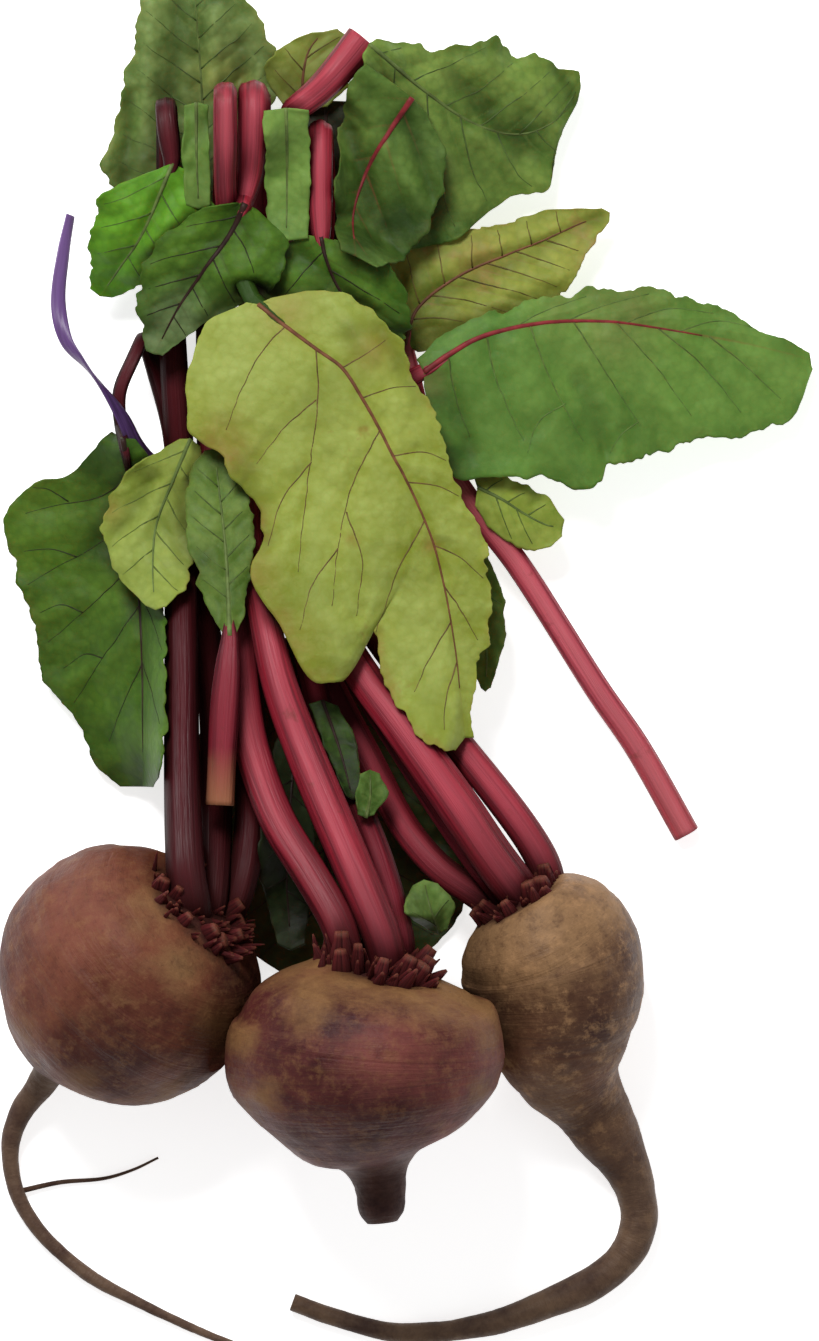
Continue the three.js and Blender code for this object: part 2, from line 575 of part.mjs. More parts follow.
function pileHeight(x, y, reach = 1) {
  const column = Math.floor((x + PILE_HALF_WIDTH) / PILE_CELL);
  const row = Math.floor((y + PILE_HALF_LENGTH) / PILE_CELL);
  let highest = 0;
  for (let r = row - reach; r <= row + reach; r += 1) {
    for (let c = column - reach; c <= column + reach; c += 1) {
      highest = Math.max(highest, pile[r * PILE_COLUMNS + c]);
    }
  }
  return highest;
}

// Stalks

function liftFold(rows) {
  const curve = curveThrough(rows);
  const count = 40;
  const lifted = [];
  for (let i = 0; i <= count; i += 1) {
    const row = curve(i / count);
    const below = pileHeight(row[0], row[1], Math.ceil(row[3] + 1)) + GAP + row[3] * STALK_FLATNESS;
    const free = Math.min(1, i / (count * 0.3));
    lifted.push([row[0], row[1], row[2] + free * Math.max(0, below - row[2]), row[3]]);
  }
  for (let pass = 0; pass < 3; pass += 1) {
    const heights = lifted.map((row) => row[2]);
    for (let i = 1; i < count; i += 1) {
      lifted[i][2] = Math.max(heights[i], (heights[i - 1] + heights[i + 1]) / 2);
    }
  }
  return lifted.filter((_, i) => i % 4 === 0);
}

function stalkBody(rows, grow = 0) {
  return tube(walk(rows, 24, 0.36), { sides: STALK_SIDES, flatness: STALK_FLATNESS, grow });
}

// Blades

function bladeGrid(leaf) {
  const curve = curveThrough(leaf.blade.map((row) => [
    ...place([row[2], row[3]]), row[4], ...place([row[0], row[1]]), ...place([row[5], row[6]]),
  ]));
  const stations = leaf.blade.length;
  const rowCount = BLADE_ROWS * (stations > 11 ? 1.5 : stations > 4 ? 1 : 0.5);
  const grid = [];
  for (let i = 0; i <= rowCount; i += 1) {
    const along = i / rowCount;
    const row = curve(along);
    const body = Math.sin(Math.PI * Math.min(Math.max(along, 0.04), 0.96)) ** 0.5;
    const tooth = leaf.tooth * body * (i % 2 === 0 ? 0.5 : -0.5);
    grid.push(BLADE_SHARES.map((share) => {
      const edge = share < 0 ? [row[3], row[4]] : [row[5], row[6]];
      const across = Math.abs(share);
      const width = Math.hypot(edge[0] - row[0], edge[1] - row[1]);
      const reach = across * (1 + (across === 1 ? tooth / width : 0));
      const phase = along * rowCount * 1.35 + (share < 0 ? 0 : 1.9);
      const wave = leaf.ruffle * Math.sin(phase) - leaf.droop;
      const height = row[2] + wave * body * across ** 2;
      return new THREE.Vector3(
        row[0] + (edge[0] - row[0]) * reach,
        row[1] + (edge[1] - row[1]) * reach,
        Math.max(height, BLADE_THICKNESS / 2 + GAP),
      );
    }));
  }
  return grid;
}

function halfThickness(grid, i, j, grow = 0) {
  const middle = (BLADE_SHARES.length - 1) / 2;
  const along = i / (grid.length - 1);
  const ribbed = THREE.MathUtils.lerp(MIDRIB_THICKNESS, BLADE_THICKNESS, along) / 2;
  const flat = j === middle ? ribbed : BLADE_THICKNESS / 2;
  const rowStep = grid[Math.min(i + 1, grid.length - 1)][j].clone().sub(grid[Math.max(i - 1, 0)][j]);
  const columnStep = grid[i][Math.min(j + 1, BLADE_SHARES.length - 1)].clone().sub(grid[i][Math.max(j - 1, 0)]);
  const normal = rowStep.cross(columnStep).normalize();
  return (flat + grow) * Math.min(2, 1 / Math.max(Math.abs(normal.z), 0.1));
}

function bladeTriangles(grid) {
  const columns = BLADE_SHARES.length;
  const at = (i, j) => i * columns + j;
  const triangles = [];
  for (let i = 0; i < grid.length - 1; i += 1) {
    for (let j = 0; j < columns - 1; j += 1) {
      if ((j < 2) === (i % 2 === 0)) {
        triangles.push([at(i, j), at(i, j + 1), at(i + 1, j + 1)]);
        triangles.push([at(i, j), at(i + 1, j + 1), at(i + 1, j)]);
      } else {
        triangles.push([at(i, j), at(i, j + 1), at(i + 1, j)]);
        triangles.push([at(i, j + 1), at(i + 1, j + 1), at(i + 1, j)]);
      }
    }
  }
  return triangles;
}

function settle(grid) {
  const flat = grid.flat();
  const rest = flat.map((point) => point.z);
  const columns = BLADE_SHARES.length;
  const under = flat.map((_, k) => halfThickness(grid, Math.floor(k / columns), k % columns) + GAP + 0.15);
  const triangles = bladeTriangles(grid);
  const raise = (rounds) => {
    for (let round = 0; round < rounds; round += 1) {
      for (const [a, b, c] of triangles) {
        spreadOver(flat[a], flat[b], flat[c], 1.2, (wa, wb, wc) => {
          const x = flat[a].x * wa + flat[b].x * wb + flat[c].x * wc;
          const y = flat[a].y * wa + flat[b].y * wb + flat[c].y * wc;
          const z = flat[a].z * wa + flat[b].z * wb + flat[c].z * wc;
          const needed = pileHeight(x, y) + under[a] * wa + under[b] * wb + under[c] * wc - z;
          if (needed > 0) {
            const push = needed / (wa * wa + wb * wb + wc * wc);
            flat[a].z += push * wa;
            flat[b].z += push * wb;
            flat[c].z += push * wc;
          }
        });
      }
    }
  };
  for (let pass = 0; pass < 6; pass += 1) {
    raise(1);
    const heights = grid.map((row) => row.map((point) => point.z));
    grid.forEach((row, i) => row.forEach((point, j) => {
      const above = heights[Math.max(i - 1, 0)][j];
      const below = heights[Math.min(i + 1, grid.length - 1)][j];
      const left = heights[i][Math.max(j - 1, 0)];
      const right = heights[i][Math.min(j + 1, columns - 1)];
      const mean = (above + below + left + right) / 4;
      point.z = Math.max(rest[i * columns + j], THREE.MathUtils.lerp(heights[i][j], mean, 0.5));
    }));
  }
  raise(5);
  return grid;
}

function bladeBody(grid, grow = 0) {
  const columns = BLADE_SHARES.length;
  const faces = bladeTriangles(grid);
  const top = [];
  const bottom = [];
  grid.forEach((row, i) => row.forEach((point, j) => {
    const middle = row[(columns - 1) / 2];
    const outward = point.clone().sub(middle).setZ(0);
    const edge = j === 0 || j === columns - 1 ? grow : 0;
    const moved = point.clone().addScaledVector(outward.normalize(), edge);
    const half = halfThickness(grid, i, j, grow);
    top.push(moved.clone().setZ(point.z + half));
    bottom.push(moved.clone().setZ(point.z - half));
  }));
  const count = top.length;
  const rim = [];
  for (let j = 0; j < columns; j += 1) {
    rim.push(j);
  }
  for (let i = 1; i < grid.length; i += 1) {
    rim.push(i * columns + columns - 1);
  }
  for (let j = columns - 2; j >= 0; j -= 1) {
    rim.push((grid.length - 1) * columns + j);
  }
  for (let i = grid.length - 2; i > 0; i -= 1) {
    rim.push(i * columns);
  }
  const triangles = faces.map((face) => [...face]);
  faces.forEach(([a, b, c]) => triangles.push([a + count, c + count, b + count]));
  rim.forEach((a, k) => {
    const b = rim[(k + 1) % rim.length];
    triangles.push([b, a, a + count], [b, a + count, b + count]);
  });
  return bodyFrom([...top, ...bottom], triangles);
}

// Beets

function beetWobble(angle, i) {
  return 1 + 0.012 * Math.sin(3 * angle + 0.4 * i) + 0.008 * Math.sin(5 * angle - 0.7 * i);
}

function beetSolid(beet) {
  const rings = beet.rings.map(place);
  let solid = toSolid(tube(rings, { sides: BEET_SIDES, wobble: beetWobble, floor: 0 }));
  const centre = new THREE.Vector3(...place(beet.crown));
  const inside = new THREE.Vector3(rings[4][0], rings[4][1], rings[4][2]);
  const axis = centre.clone().sub(inside).normalize();
  const across = new THREE.Vector3().crossVectors(axis, new THREE.Vector3(0, 0, 1)).normalize();
  const up = new THREE.Vector3().crossVectors(across, axis);
  for (let k = 0; k < beet.stubs; k += 1) {
    const angle = (2 * Math.PI * (k + 0.3 * Math.sin(k * 2.1))) / beet.stubs;
    const out = across.clone().multiplyScalar(Math.cos(angle)).addScaledVector(up, Math.sin(angle));
    const lean = axis.clone().addScaledVector(out, 0.28 + 0.16 * Math.sin(k * 1.7)).normalize();
    const root = centre.clone().addScaledVector(out, beet.crown[3] * (0.82 + 0.14 * Math.sin(k * 2.9)));
    const length = beet.stubLength * (0.8 + 0.25 * Math.sin(k * 3.3));
    const rows = [-6, 0, length].map((along, step) => {
      const point = root.clone().addScaledVector(lean, along);
      return [point.x, point.y, point.z, 3.3 - step * 0.6];
    });
    solid = solid.add(toSolid(tube(rows, { sides: STUB_SIDES, flatness: 0.8 })));
  }
  if (beet.rootlet) {
    solid = solid.add(toSolid(tube(beet.rootlet.map(place), { sides: 4 })));
  }
  return solid;
}

// The tie: a flat strip round the stalks with a twist and one long free end

function tieSolid(grow = 0) {
  const [from, to] = TIE_COLUMNS.map((column) => place([column, TIE_ROW])[0]);
  const outline = (inset) => {
    const shape = new THREE.Shape();
    const corner = 4;
    const [x0, x1] = [from + inset, to - inset];
    const [z0, z1] = [inset, TIE_TOP - inset];
    shape.moveTo(x0 + corner, z0);
    shape.lineTo(x1 - corner, z0);
    shape.absarc(x1 - corner, z0 + corner, corner, -Math.PI / 2, 0);
    shape.absarc(x1 - corner, z1 - corner, corner, 0, Math.PI / 2);
    shape.absarc(x0 + corner, z1 - corner, corner, Math.PI / 2, Math.PI);
    shape.absarc(x0 + corner, z0 + corner, corner, Math.PI, 1.5 * Math.PI);
    return shape;
  };
  const shape = outline(-grow);
  shape.holes.push(outline(TIE_THICKNESS + grow));
  const depth = TIE_WIDTH + 2 * grow;
  const ring = new THREE.ExtrudeGeometry(shape, { depth, bevelEnabled: false, curveSegments: 3 });
  ring.rotateX(Math.PI / 2);
  ring.translate(0, place([0, TIE_ROW])[1] + TIE_WIDTH / 2 + grow, 0);
  ring.deleteAttribute('normal');
  ring.deleteAttribute('uv');
  const tail = tube(walk(TIE_TAIL.map(place), 14, 0.4), { sides: 6, flatness: 0.3, grow });
  const knot = tube(walk(TIE_KNOT.map(place), 6, 0.5), { sides: 6, flatness: 0.4, grow });
  return toSolid(ring).add(toSolid(tail)).add(toSolid(knot));
}

// Building the pile from the surface upwards; a stalk's last stretch is left to the blade that covers it

const leafByName = new Map([...LEAVES, ...BARE_STALKS].map((leaf) => [leaf.name, leaf]));
const stalkRows = new Map();
const bladeGrids = new Map();

for (const [stage, name] of PILE_ORDER) {
  const leaf = leafByName.get(name);
  if (stage === 'stalk') {
    const rows = leaf.stalk.map(place);
    stalkRows.set(name, rows);
    layOnPile(stalkBody(leaf.blade && leaf.fold.length === 0 ? rows.slice(0, -1) : rows));
  } else if (stage === 'fold') {
    const lower = stalkRows.get(name);
    const lifted = liftFold([lower[lower.length - 1], ...leaf.fold.map(place)]);
    stalkRows.set(name, [...lower, ...lifted.slice(1)]);
    const end = lifted[lifted.length - 1];
    layOnPile(stalkBody(lifted.filter((row) => distance(row, end) > UNDER_BLADE)));
  } else if (stage === 'blade') {
    const grid = settle(bladeGrid(leaf));
    bladeGrids.set(name, grid);
    layOnPile(bladeBody(grid));
  } else if (stage === 'tie') {
    layOnPile(toGeometry(tieSolid()));
  } else {
    BEETS.forEach((beet) => layOnPile(tube(beet.rings.map(place), { sides: BEET_SIDES })));
  }
}

// A stalk runs on into its blade's midrib and ends there in a point
function wholeStalk(name) {
  const rows = stalkRows.get(name);
  const grid = bladeGrids.get(name);
  const middle = (BLADE_SHARES.length - 1) / 2;
  const width = rows[rows.length - 1][3];
  const onMidrib = [1, 2, 4].map((i) => grid[i][middle]);
  return [...rows, ...onMidrib.map((point, k) => [point.x, point.y, point.z, width * (0.7 - 0.2 * k)])];
}

function leafSolid(leaf, grow = 0) {
  const blade = toSolid(bladeBody(bladeGrids.get(leaf.name), grow));
  if (!leaf.stalk) {
    return blade;
  }
  return blade.add(toSolid(stalkBody(wholeStalk(leaf.name), grow)));
}

const pieces = [
  ...LEAVES.map((leaf) => ({
    name: leaf.name,
    colour: leaf.colour,
    solid: (grow) => leafSolid(leaf, grow),
  })),
  ...BARE_STALKS.map((bare) => ({
    name: bare.name,
    colour: bare.colour,
    solid: (grow) => toSolid(stalkBody(stalkRows.get(bare.name), grow)),
  })),
  { name: 'tie', colour: TIE_VIOLET, solid: tieSolid },
  ...BEETS.map((beet) => ({ name: beet.name, colour: beet.colour, solid: () => beetSolid(beet) })),
];

// Each piece gives way to those before it in the list, so a stalk sits in a socket of its beet's crown
const swelled = pieces.map((piece) => piece.solid(GAP));
const bunch = new THREE.Group();
pieces.forEach((piece, i) => {
  let solid = piece.solid(0);
  for (let k = 0; k < i; k += 1) {
    const shared = solid.intersect(swelled[k]);
    if (!shared.isEmpty()) {
      solid = solid.subtract(swelled[k]);
    }
  }
  solid = largestBody(solid);
  const material = new THREE.MeshStandardMaterial({ color: piece.colour, roughness: 0.6, metalness: 0 });
  const mesh = new THREE.Mesh(toGeometry(solid), material);
  mesh.name = piece.name;
  bunch.add(mesh);
});

export default bunch;
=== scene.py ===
# The finish of a tied bunch of three beetroots with their stalks and folded-back leaves.
# Metres, +Z up, +Y towards the leaves. The tables hold columns and rows of a layout seen from above, whose
# steps are GRID_STEP millimetres, and heights and half widths in millimetres.

import math
import random

import bpy
import numpy as np
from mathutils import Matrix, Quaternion, Vector, noise
from mathutils.bvhtree import BVHTree
from mathutils.kdtree import KDTree


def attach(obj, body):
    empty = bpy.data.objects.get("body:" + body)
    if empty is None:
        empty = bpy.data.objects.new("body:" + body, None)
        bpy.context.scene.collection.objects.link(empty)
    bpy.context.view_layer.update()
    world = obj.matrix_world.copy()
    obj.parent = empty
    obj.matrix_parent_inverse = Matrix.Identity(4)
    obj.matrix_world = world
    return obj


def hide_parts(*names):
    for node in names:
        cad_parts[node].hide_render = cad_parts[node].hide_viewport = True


MM = 0.001
GRID_STEP = 0.28
ORIGIN_COLUMN = 407
ORIGIN_ROW = 656
STALK_FLATNESS = 0.8
STALK_SIDES = 28
PATH_STEP = 1.5
ROOT_SIDES = 110
ROOT_STEP = 0.9
STUB_STEPS = 7
SCALES_PER_CROWN = 90
BLADE_CELL = 0.65
BLADE_THICKNESS = 0.4
SIDE_VEIN_SLANT = 0.85
FULL_LOBES_WIDTH = 26
TIE_ROW = 465
TIE_COLUMNS = [157, 301]
TIE_TOP = 17.3
TIE_WIDTH = 5
TIE_THICKNESS = 0.8
TIE_SIDES = 20
PICTURE_WIDTH = 819
PICTURE_HEIGHT = 1341
CAMERA_HEIGHT = 3.0
SEEN_PLANE = 0.04
SENSOR_WIDTH = 36
LIGHTS_AIM = (0, 0, 0.03)

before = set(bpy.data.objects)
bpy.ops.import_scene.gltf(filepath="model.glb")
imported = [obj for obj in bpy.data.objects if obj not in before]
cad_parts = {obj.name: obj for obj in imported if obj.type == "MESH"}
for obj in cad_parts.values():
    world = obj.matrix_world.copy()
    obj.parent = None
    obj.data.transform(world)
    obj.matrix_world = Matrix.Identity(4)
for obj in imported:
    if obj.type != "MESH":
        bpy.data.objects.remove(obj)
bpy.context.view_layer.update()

# Each beet's crown and rings: column, row, height and half width
BEETS = [
    {
        "name": "beet_front", "crown": [376, 966, 59.5, 15], "stubs": 13, "stub_length": 12,
        "rings": [
            [372, 965, 59.5, 9], [371, 968, 59.3, 15], [370, 975, 59, 22], [369, 985, 58.6, 28],
            [368, 1000, 58.1, 33.8], [368, 1022, 57.2, 37.6], [366, 1055, 56.2, 39],
            [368, 1088, 55.2, 36.8], [370, 1116, 54.2, 30], [372, 1138, 53.2, 21.8],
            [375, 1154, 52.2, 12.8], [377, 1168, 51.5, 8.8], [380, 1190, 51, 7], [381, 1210, 50.5, 6.2],
            [382, 1220, 50.3, 4.4],
        ],
    },
    {
        "name": "beet_left", "crown": [200, 906, 48.5, 15], "stubs": 12, "stub_length": 8,
        "rings": [
            [198, 902, 49.5, 9], [192, 908, 48.4, 18], [182, 918, 46.4, 26.5], [167, 934, 43.3, 32.5],
            [149, 953, 38.9, 35.8], [130, 972, 35.3, 36.8], [111, 992, 32.2, 36.3], [94, 1010, 29.7, 33.8],
            [80, 1024, 26.8, 28.6], [68, 1037, 23.5, 20.6], [58, 1051, 19.5, 11.6], [50, 1067, 15, 5.8],
            [36, 1090, 10, 4.1], [19, 1113, 7, 3.5], [8, 1138, 5, 2.9], [6, 1170, 3.6, 2.4],
            [14, 1204, 2.6, 2.3], [38, 1242, 2.2, 2], [82, 1281, 2, 1.8], [132, 1309, 1.7, 1.5],
            [200, 1341, 1.4, 1.3], [256, 1363, 1.1, 1],
        ],
        "rootlet": [
            [14, 1198, 1.6, 0.9], [55, 1189, 1, 0.8], [100, 1185, 0.9, 0.7], [130, 1176, 0.8, 0.65],
            [155, 1164, 0.8, 0.6],
        ],
    },
    {
        "name": "beet_right", "crown": [516, 897, 31, 12], "stubs": 10, "stub_length": 8,
        "rings": [
            [518, 894, 31, 7], [521, 899, 30.5, 13], [528, 911, 30, 19], [538, 930, 28.5, 23.5],
            [549, 955, 26, 25.8], [556, 985, 24.7, 25.6], [559, 1012, 23.6, 24], [562, 1040, 21.5, 20.6],
            [571, 1075, 17, 15.6], [590, 1108, 12.5, 10.8], [610, 1138, 10, 8.9], [628, 1170, 7.5, 6.8],
            [639, 1200, 5.8, 5.4], [641, 1230, 5.1, 5], [627, 1263, 5.1, 5], [594, 1291, 5, 4.9],
            [545, 1313, 4.3, 4.2], [480, 1334, 3.4, 3.3], [400, 1341, 2.9, 2.8], [335, 1326, 2.7, 2.6],
            [291, 1310, 2.6, 2.5],
        ],
    },
]

# Each leaf's stalk and fold: column, row, height and half width. Each blade from its base to its tip: left
# edge, midrib with its height, and right edge
LEAVES = [
    {
        "name": "leaf_lower_left",
        "stalk": [
            [208, 928, 40, 3.4], [213, 900, 44, 3.8], [215, 820, 32, 4.2], [212, 700, 16, 4.2],
            [192, 560, 6, 4], [178, 465, 4.5, 4], [170, 420, 4.5, 3.4], [156, 372, 4.5, 3],
        ],
        "fold": [
            [146, 345, 7, 2.5], [141, 333, 12, 2.3], [139, 338, 17, 2.3], [128, 364, 19.5, 2.3],
            [116, 390, 19.8, 2.3], [119, 425, 19, 2.1],
        ],
        "blade": [
            [110, 430, 122, 438, 18, 134, 438], [88, 452, 126, 462, 17, 148, 460],
            [62, 474, 129, 482, 16, 154, 478], [30, 482, 132, 504, 15, 158, 505],
            [6, 510, 134, 528, 13.5, 160, 535], [6, 556, 136, 560, 11, 163, 575],
            [24, 600, 138, 602, 9.5, 165, 615], [32, 640, 140, 640, 8, 166, 655],
            [42, 686, 141, 684, 6.5, 165, 700], [68, 714, 141, 716, 5.6, 164, 735],
            [92, 764, 141, 756, 4.6, 161, 770], [116, 788, 140, 788, 4, 152, 788],
        ],
    },
    {
        "name": "leaf_top",
        "stalk": [
            [222, 930, 37, 3.4], [238, 898, 39, 3.8], [249, 840, 35, 4.2], [250, 740, 24, 4.2],
            [238, 600, 9.5, 4.1], [212, 465, 4.5, 4.1], [208, 350, 4.5, 3.8], [205, 225, 4.8, 3],
        ],
        "blade": [
            [196, 216, 205, 216, 5, 214, 216], [152, 196, 204, 188, 5, 250, 196],
            [106, 178, 203, 150, 5.2, 264, 150], [104, 145, 201, 110, 5.5, 269, 104],
            [122, 85, 199, 70, 8, 278, 66], [130, 35, 196, 30, 11, 270, 30],
            [142, -12, 193, -10, 13, 240, -12], [165, -38, 190, -34, 13, 214, -36],
            [184, -46, 190, -46, 13, 197, -46],
        ],
    },
    {
        "name": "leaf_upper_right",
        "stalk": [
            [504, 922, 21, 3.8], [484, 900, 25, 4], [442, 872, 25, 4], [404, 828, 20.5, 4],
            [371, 765, 16, 4], [335, 697, 12, 4], [277, 570, 5, 4.1], [246, 465, 4.5, 4.1],
            [262, 360, 4.5, 3.9], [284, 260, 4.5, 3.7], [288, 190, 4.8, 3.6],
        ],
        "fold": [
            [288, 150, 6, 3.6], [290, 121, 9, 3.7], [293, 109, 18, 3.9], [304, 102, 27.5, 4.2],
            [322, 86, 31.5, 4.6], [344, 61, 32, 5.2], [363, 37, 31, 5.6],
        ],
        "blade": [
            [376, 38, 369, 43, 30, 362, 55], [440, 45, 425, 88, 25, 384, 130],
            [492, 38, 465, 115, 20, 398, 236], [520, 50, 500, 128, 16, 446, 240],
            [552, 58, 530, 128, 13, 505, 196], [578, 64, 556, 116, 10, 549, 186],
            [583, 80, 575, 100, 8, 557, 140], [580, 94, 578, 99, 8, 573, 108],
        ],
    },
    {
        "name": "leaf_right",
        "stalk": [
            [552, 908, 24, 4.4], [548, 872, 28, 4.8], [530, 838, 29, 4.8], [500, 797, 29, 4.8],
            [457, 743, 26, 4.6], [380, 640, 14, 4.2], [312, 540, 6, 4.1], [280, 465, 4.5, 4.1],
            [284, 443, 4.5, 3.8], [304, 424, 4.5, 3.6], [335, 410, 8, 3.4],
        ],
        "fold": [[375, 392, 20, 3.1], [400, 381, 25, 2.8], [416, 374, 27, 2.6]],
        "blade": [
            [416, 357, 424, 371, 28, 424, 384], [446, 331, 448, 354, 28, 434, 430],
            [484, 315, 480, 336, 27, 460, 476], [512, 305, 512, 327, 26, 520, 474],
            [545, 297, 545, 321, 24, 566, 483], [572, 293, 574, 319, 23, 600, 483],
            [592, 290, 592, 319, 22, 611, 458], [615, 286, 617, 320, 20.5, 636, 461],
            [648, 286, 650, 324, 18, 664, 453], [685, 296, 688, 330, 16, 698, 434],
            [745, 316, 745, 340, 12, 762, 432], [790, 336, 790, 350, 9, 800, 410],
            [814, 350, 815, 356, 7.5, 816, 364],
        ],
    },
    {
        "name": "leaf_bright_left",
        "stalk": [
            [196, 928, 44, 4.8], [191, 905, 52, 5.8], [186, 870, 55, 5.6], [182, 780, 46, 5.2],
            [180, 620, 30, 4.6], [178, 520, 17, 4.2], [178, 465, 12.2, 4.1], [172, 370, 12.4, 4],
            [166, 235, 13, 3.6], [165, 150, 13.5, 3.3],
        ],
        "fold": [
            [165, 113, 17, 3.2], [165, 101, 24, 3.1], [165, 110, 31, 3.1], [168, 136, 32, 3.1],
            [171, 156, 31.5, 2.6],
        ],
        "blade": [
            [160, 166, 172, 162, 31, 184, 168], [112, 186, 160, 190, 31, 212, 205],
            [94, 218, 140, 235, 28, 208, 255], [92, 258, 118, 265, 20, 155, 280],
            [88, 286, 97, 293, 12, 107, 294],
        ],
    },
    {
        "name": "leaf_front",
        "stalk": [
            [352, 980, 51, 4], [347, 950, 57, 4.8], [338, 920, 57, 5], [306, 865, 51.5, 5],
            [278, 820, 46, 5], [251, 745, 37, 4.8], [243, 690, 33.5, 4.5], [236, 620, 27.5, 4.2],
            [216, 525, 16, 4.1], [212, 465, 12.2, 4.1], [216, 350, 12.4, 4], [222, 235, 13, 3.5],
            [223, 150, 13.5, 3.1],
        ],
        "fold": [
            [225, 101, 17, 3.1], [226, 89, 24, 3.3], [226, 97, 31, 3.3], [226, 140, 33, 3.3],
            [226, 203, 33, 2.9], [236, 262, 33, 2.6], [252, 298, 35, 2.4],
        ],
        "blade": [
            [246, 302, 258, 304, 38, 270, 298], [206, 324, 285, 326, 39, 318, 290],
            [190, 372, 316, 349, 40, 370, 306], [190, 425, 342, 368, 40, 400, 346],
            [222, 462, 362, 398, 39.8, 418, 388], [255, 508, 380, 430, 39, 436, 424],
            [258, 548, 393, 456, 38.4, 450, 456], [250, 582, 401, 470, 38, 458, 476],
            [270, 620, 407, 482, 37.6, 466, 494], [300, 674, 412, 492, 37.3, 472, 508],
            [330, 684, 418, 505, 37, 478, 522], [354, 668, 425, 521, 36.5, 484, 540],
            [373, 631, 434, 545, 35.8, 488, 560], [382, 676, 444, 585, 34.5, 491, 600],
            [396, 708, 451, 622, 33.6, 487, 636], [420, 736, 457, 662, 32.6, 476, 672],
            [442, 750, 461, 702, 32, 471, 706], [456, 750, 465, 738, 31, 474, 738],
        ],
    },
    {
        "name": "leaf_upper_left",
        "stalk": [
            [388, 986, 50, 4.4], [386, 950, 58, 5], [375, 918, 58, 5.2], [350, 860, 54.5, 5.2],
            [325, 802, 50, 5.2], [300, 742, 45, 5], [279, 685, 42, 4.7], [264, 620, 36.5, 4.2],
            [250, 540, 20.5, 4.1], [246, 465, 12.2, 4.1], [250, 350, 12.4, 4.1], [252, 235, 13, 4],
            [251, 150, 13.5, 4],
        ],
        "fold": [
            [253, 102, 17, 4], [254, 90, 24.5, 4.2], [254, 97, 32, 4.4], [254, 130, 34, 4.4],
            [251, 170, 34, 3.8], [245, 198, 34, 2.6],
        ],
        "blade": [
            [234, 204, 245, 203, 34, 256, 208], [190, 214, 230, 234, 35, 290, 246],
            [150, 248, 205, 268, 34, 270, 288], [134, 298, 177, 308, 31, 215, 318],
            [146, 350, 153, 353, 27, 162, 354],
        ],
    },
    {
        "name": "leaf_middle",
        "stalk": [
            [534, 914, 28, 4.8], [516, 888, 35, 5.6], [490, 853, 37.5, 5.6], [460, 808, 38, 5.6],
            [402, 727, 35, 5.2], [358, 668, 28, 4.7], [302, 560, 18, 4.2], [280, 465, 12.2, 4.1],
            [302, 350, 12.4, 4], [319, 235, 13, 3.8], [321, 175, 13.5, 3.7],
        ],
        "fold": [
            [320, 138, 17.5, 3.5], [320, 126, 24.5, 3.4], [320, 133, 32, 3.4], [320, 165, 34, 3.4],
            [320, 205, 34.5, 3.3], [321, 230, 34.5, 2.7],
        ],
        "blade": [
            [306, 234, 321, 236, 34, 336, 240], [268, 252, 326, 258, 33, 383, 258],
            [238, 290, 340, 290, 31, 407, 296], [262, 335, 362, 318, 27, 410, 330],
            [375, 348, 388, 340, 24, 400, 340],
        ],
    },
    {
        "name": "leaf_yellow",
        "stalk": [
            [690, 836, 3.3, 3.6], [640, 748, 6, 3.6], [600, 690, 8.5, 3.6], [520, 565, 14, 3.4],
            [470, 500, 16, 3.2], [425, 425, 14.5, 3], [406, 350, 13, 2.6],
        ],
        "blade": [
            [396, 342, 405, 342, 13, 418, 349], [384, 292, 418, 305, 13.5, 459, 339],
            [396, 245, 460, 272, 13.5, 505, 322], [462, 225, 505, 252, 13, 552, 306],
            [505, 220, 545, 236, 12, 574, 276], [545, 206, 580, 220, 11, 594, 240],
            [604, 204, 612, 208, 10, 611, 216],
        ],
    },
    {
        "name": "leaf_cut_small",
        "stalk": [[220, 805, 46, 4], [224, 720, 45.5, 4.2], [228, 668, 44.5, 3.7], [230, 640, 43.5, 2.7]],
        "blade": [
            [223, 634, 230, 636, 42, 237, 634], [202, 592, 228, 590, 39, 250, 586],
            [187, 535, 224, 535, 36, 254, 532], [186, 480, 218, 485, 33, 244, 482],
            [204, 450, 214, 448, 31, 226, 450],
        ],
    },
    {
        "name": "leaf_dark_centre",
        "blade": [
            [308, 704, 322, 700, 24, 338, 706], [326, 750, 340, 752, 26, 356, 745],
            [347, 796, 353, 800, 29, 360, 798],
        ],
    },
    {
        "name": "leaf_behind_fold",
        "blade": [
            [284, 104, 303, 103, 9, 326, 101], [264, 66, 302, 72, 11, 350, 70],
            [280, 42, 308, 45, 12, 353, 40], [312, 27, 322, 26, 13, 336, 23],
        ],
    },
    {
        "name": "leaf_dark_inner",
        "blade": [
            [286, 712, 298, 706, 20, 309, 712], [268, 780, 291, 785, 22, 313, 785],
            [262, 870, 286, 875, 24, 312, 875], [276, 945, 291, 952, 27, 305, 945],
        ],
    },
    {
        "name": "leaflet_centre",
        "blade": [
            [358, 814, 366, 818, 30, 374, 814], [356, 796, 370, 798, 31, 387, 794],
            [360, 774, 370, 770, 31, 380, 774],
        ],
    },
    {
        "name": "leaflet_crown",
        "blade": [
            [430, 932, 440, 934, 31, 448, 930], [406, 908, 430, 908, 33, 455, 904],
            [412, 886, 424, 880, 33, 438, 884],
        ],
    },
    {
        "name": "leaf_under_front",
        "blade": [
            [463, 545, 472, 542, 22, 482, 544], [461, 600, 482, 598, 22, 503, 592],
            [468, 652, 487, 650, 20, 504, 645], [481, 688, 486, 692, 18, 491, 687],
        ],
    },
    {
        "name": "leaf_lobed",
        "blade": [
            [472, 470, 478, 486, 20, 476, 505], [505, 474, 502, 498, 20, 494, 530],
            [530, 486, 524, 512, 18, 520, 548], [552, 500, 548, 524, 17, 548, 547],
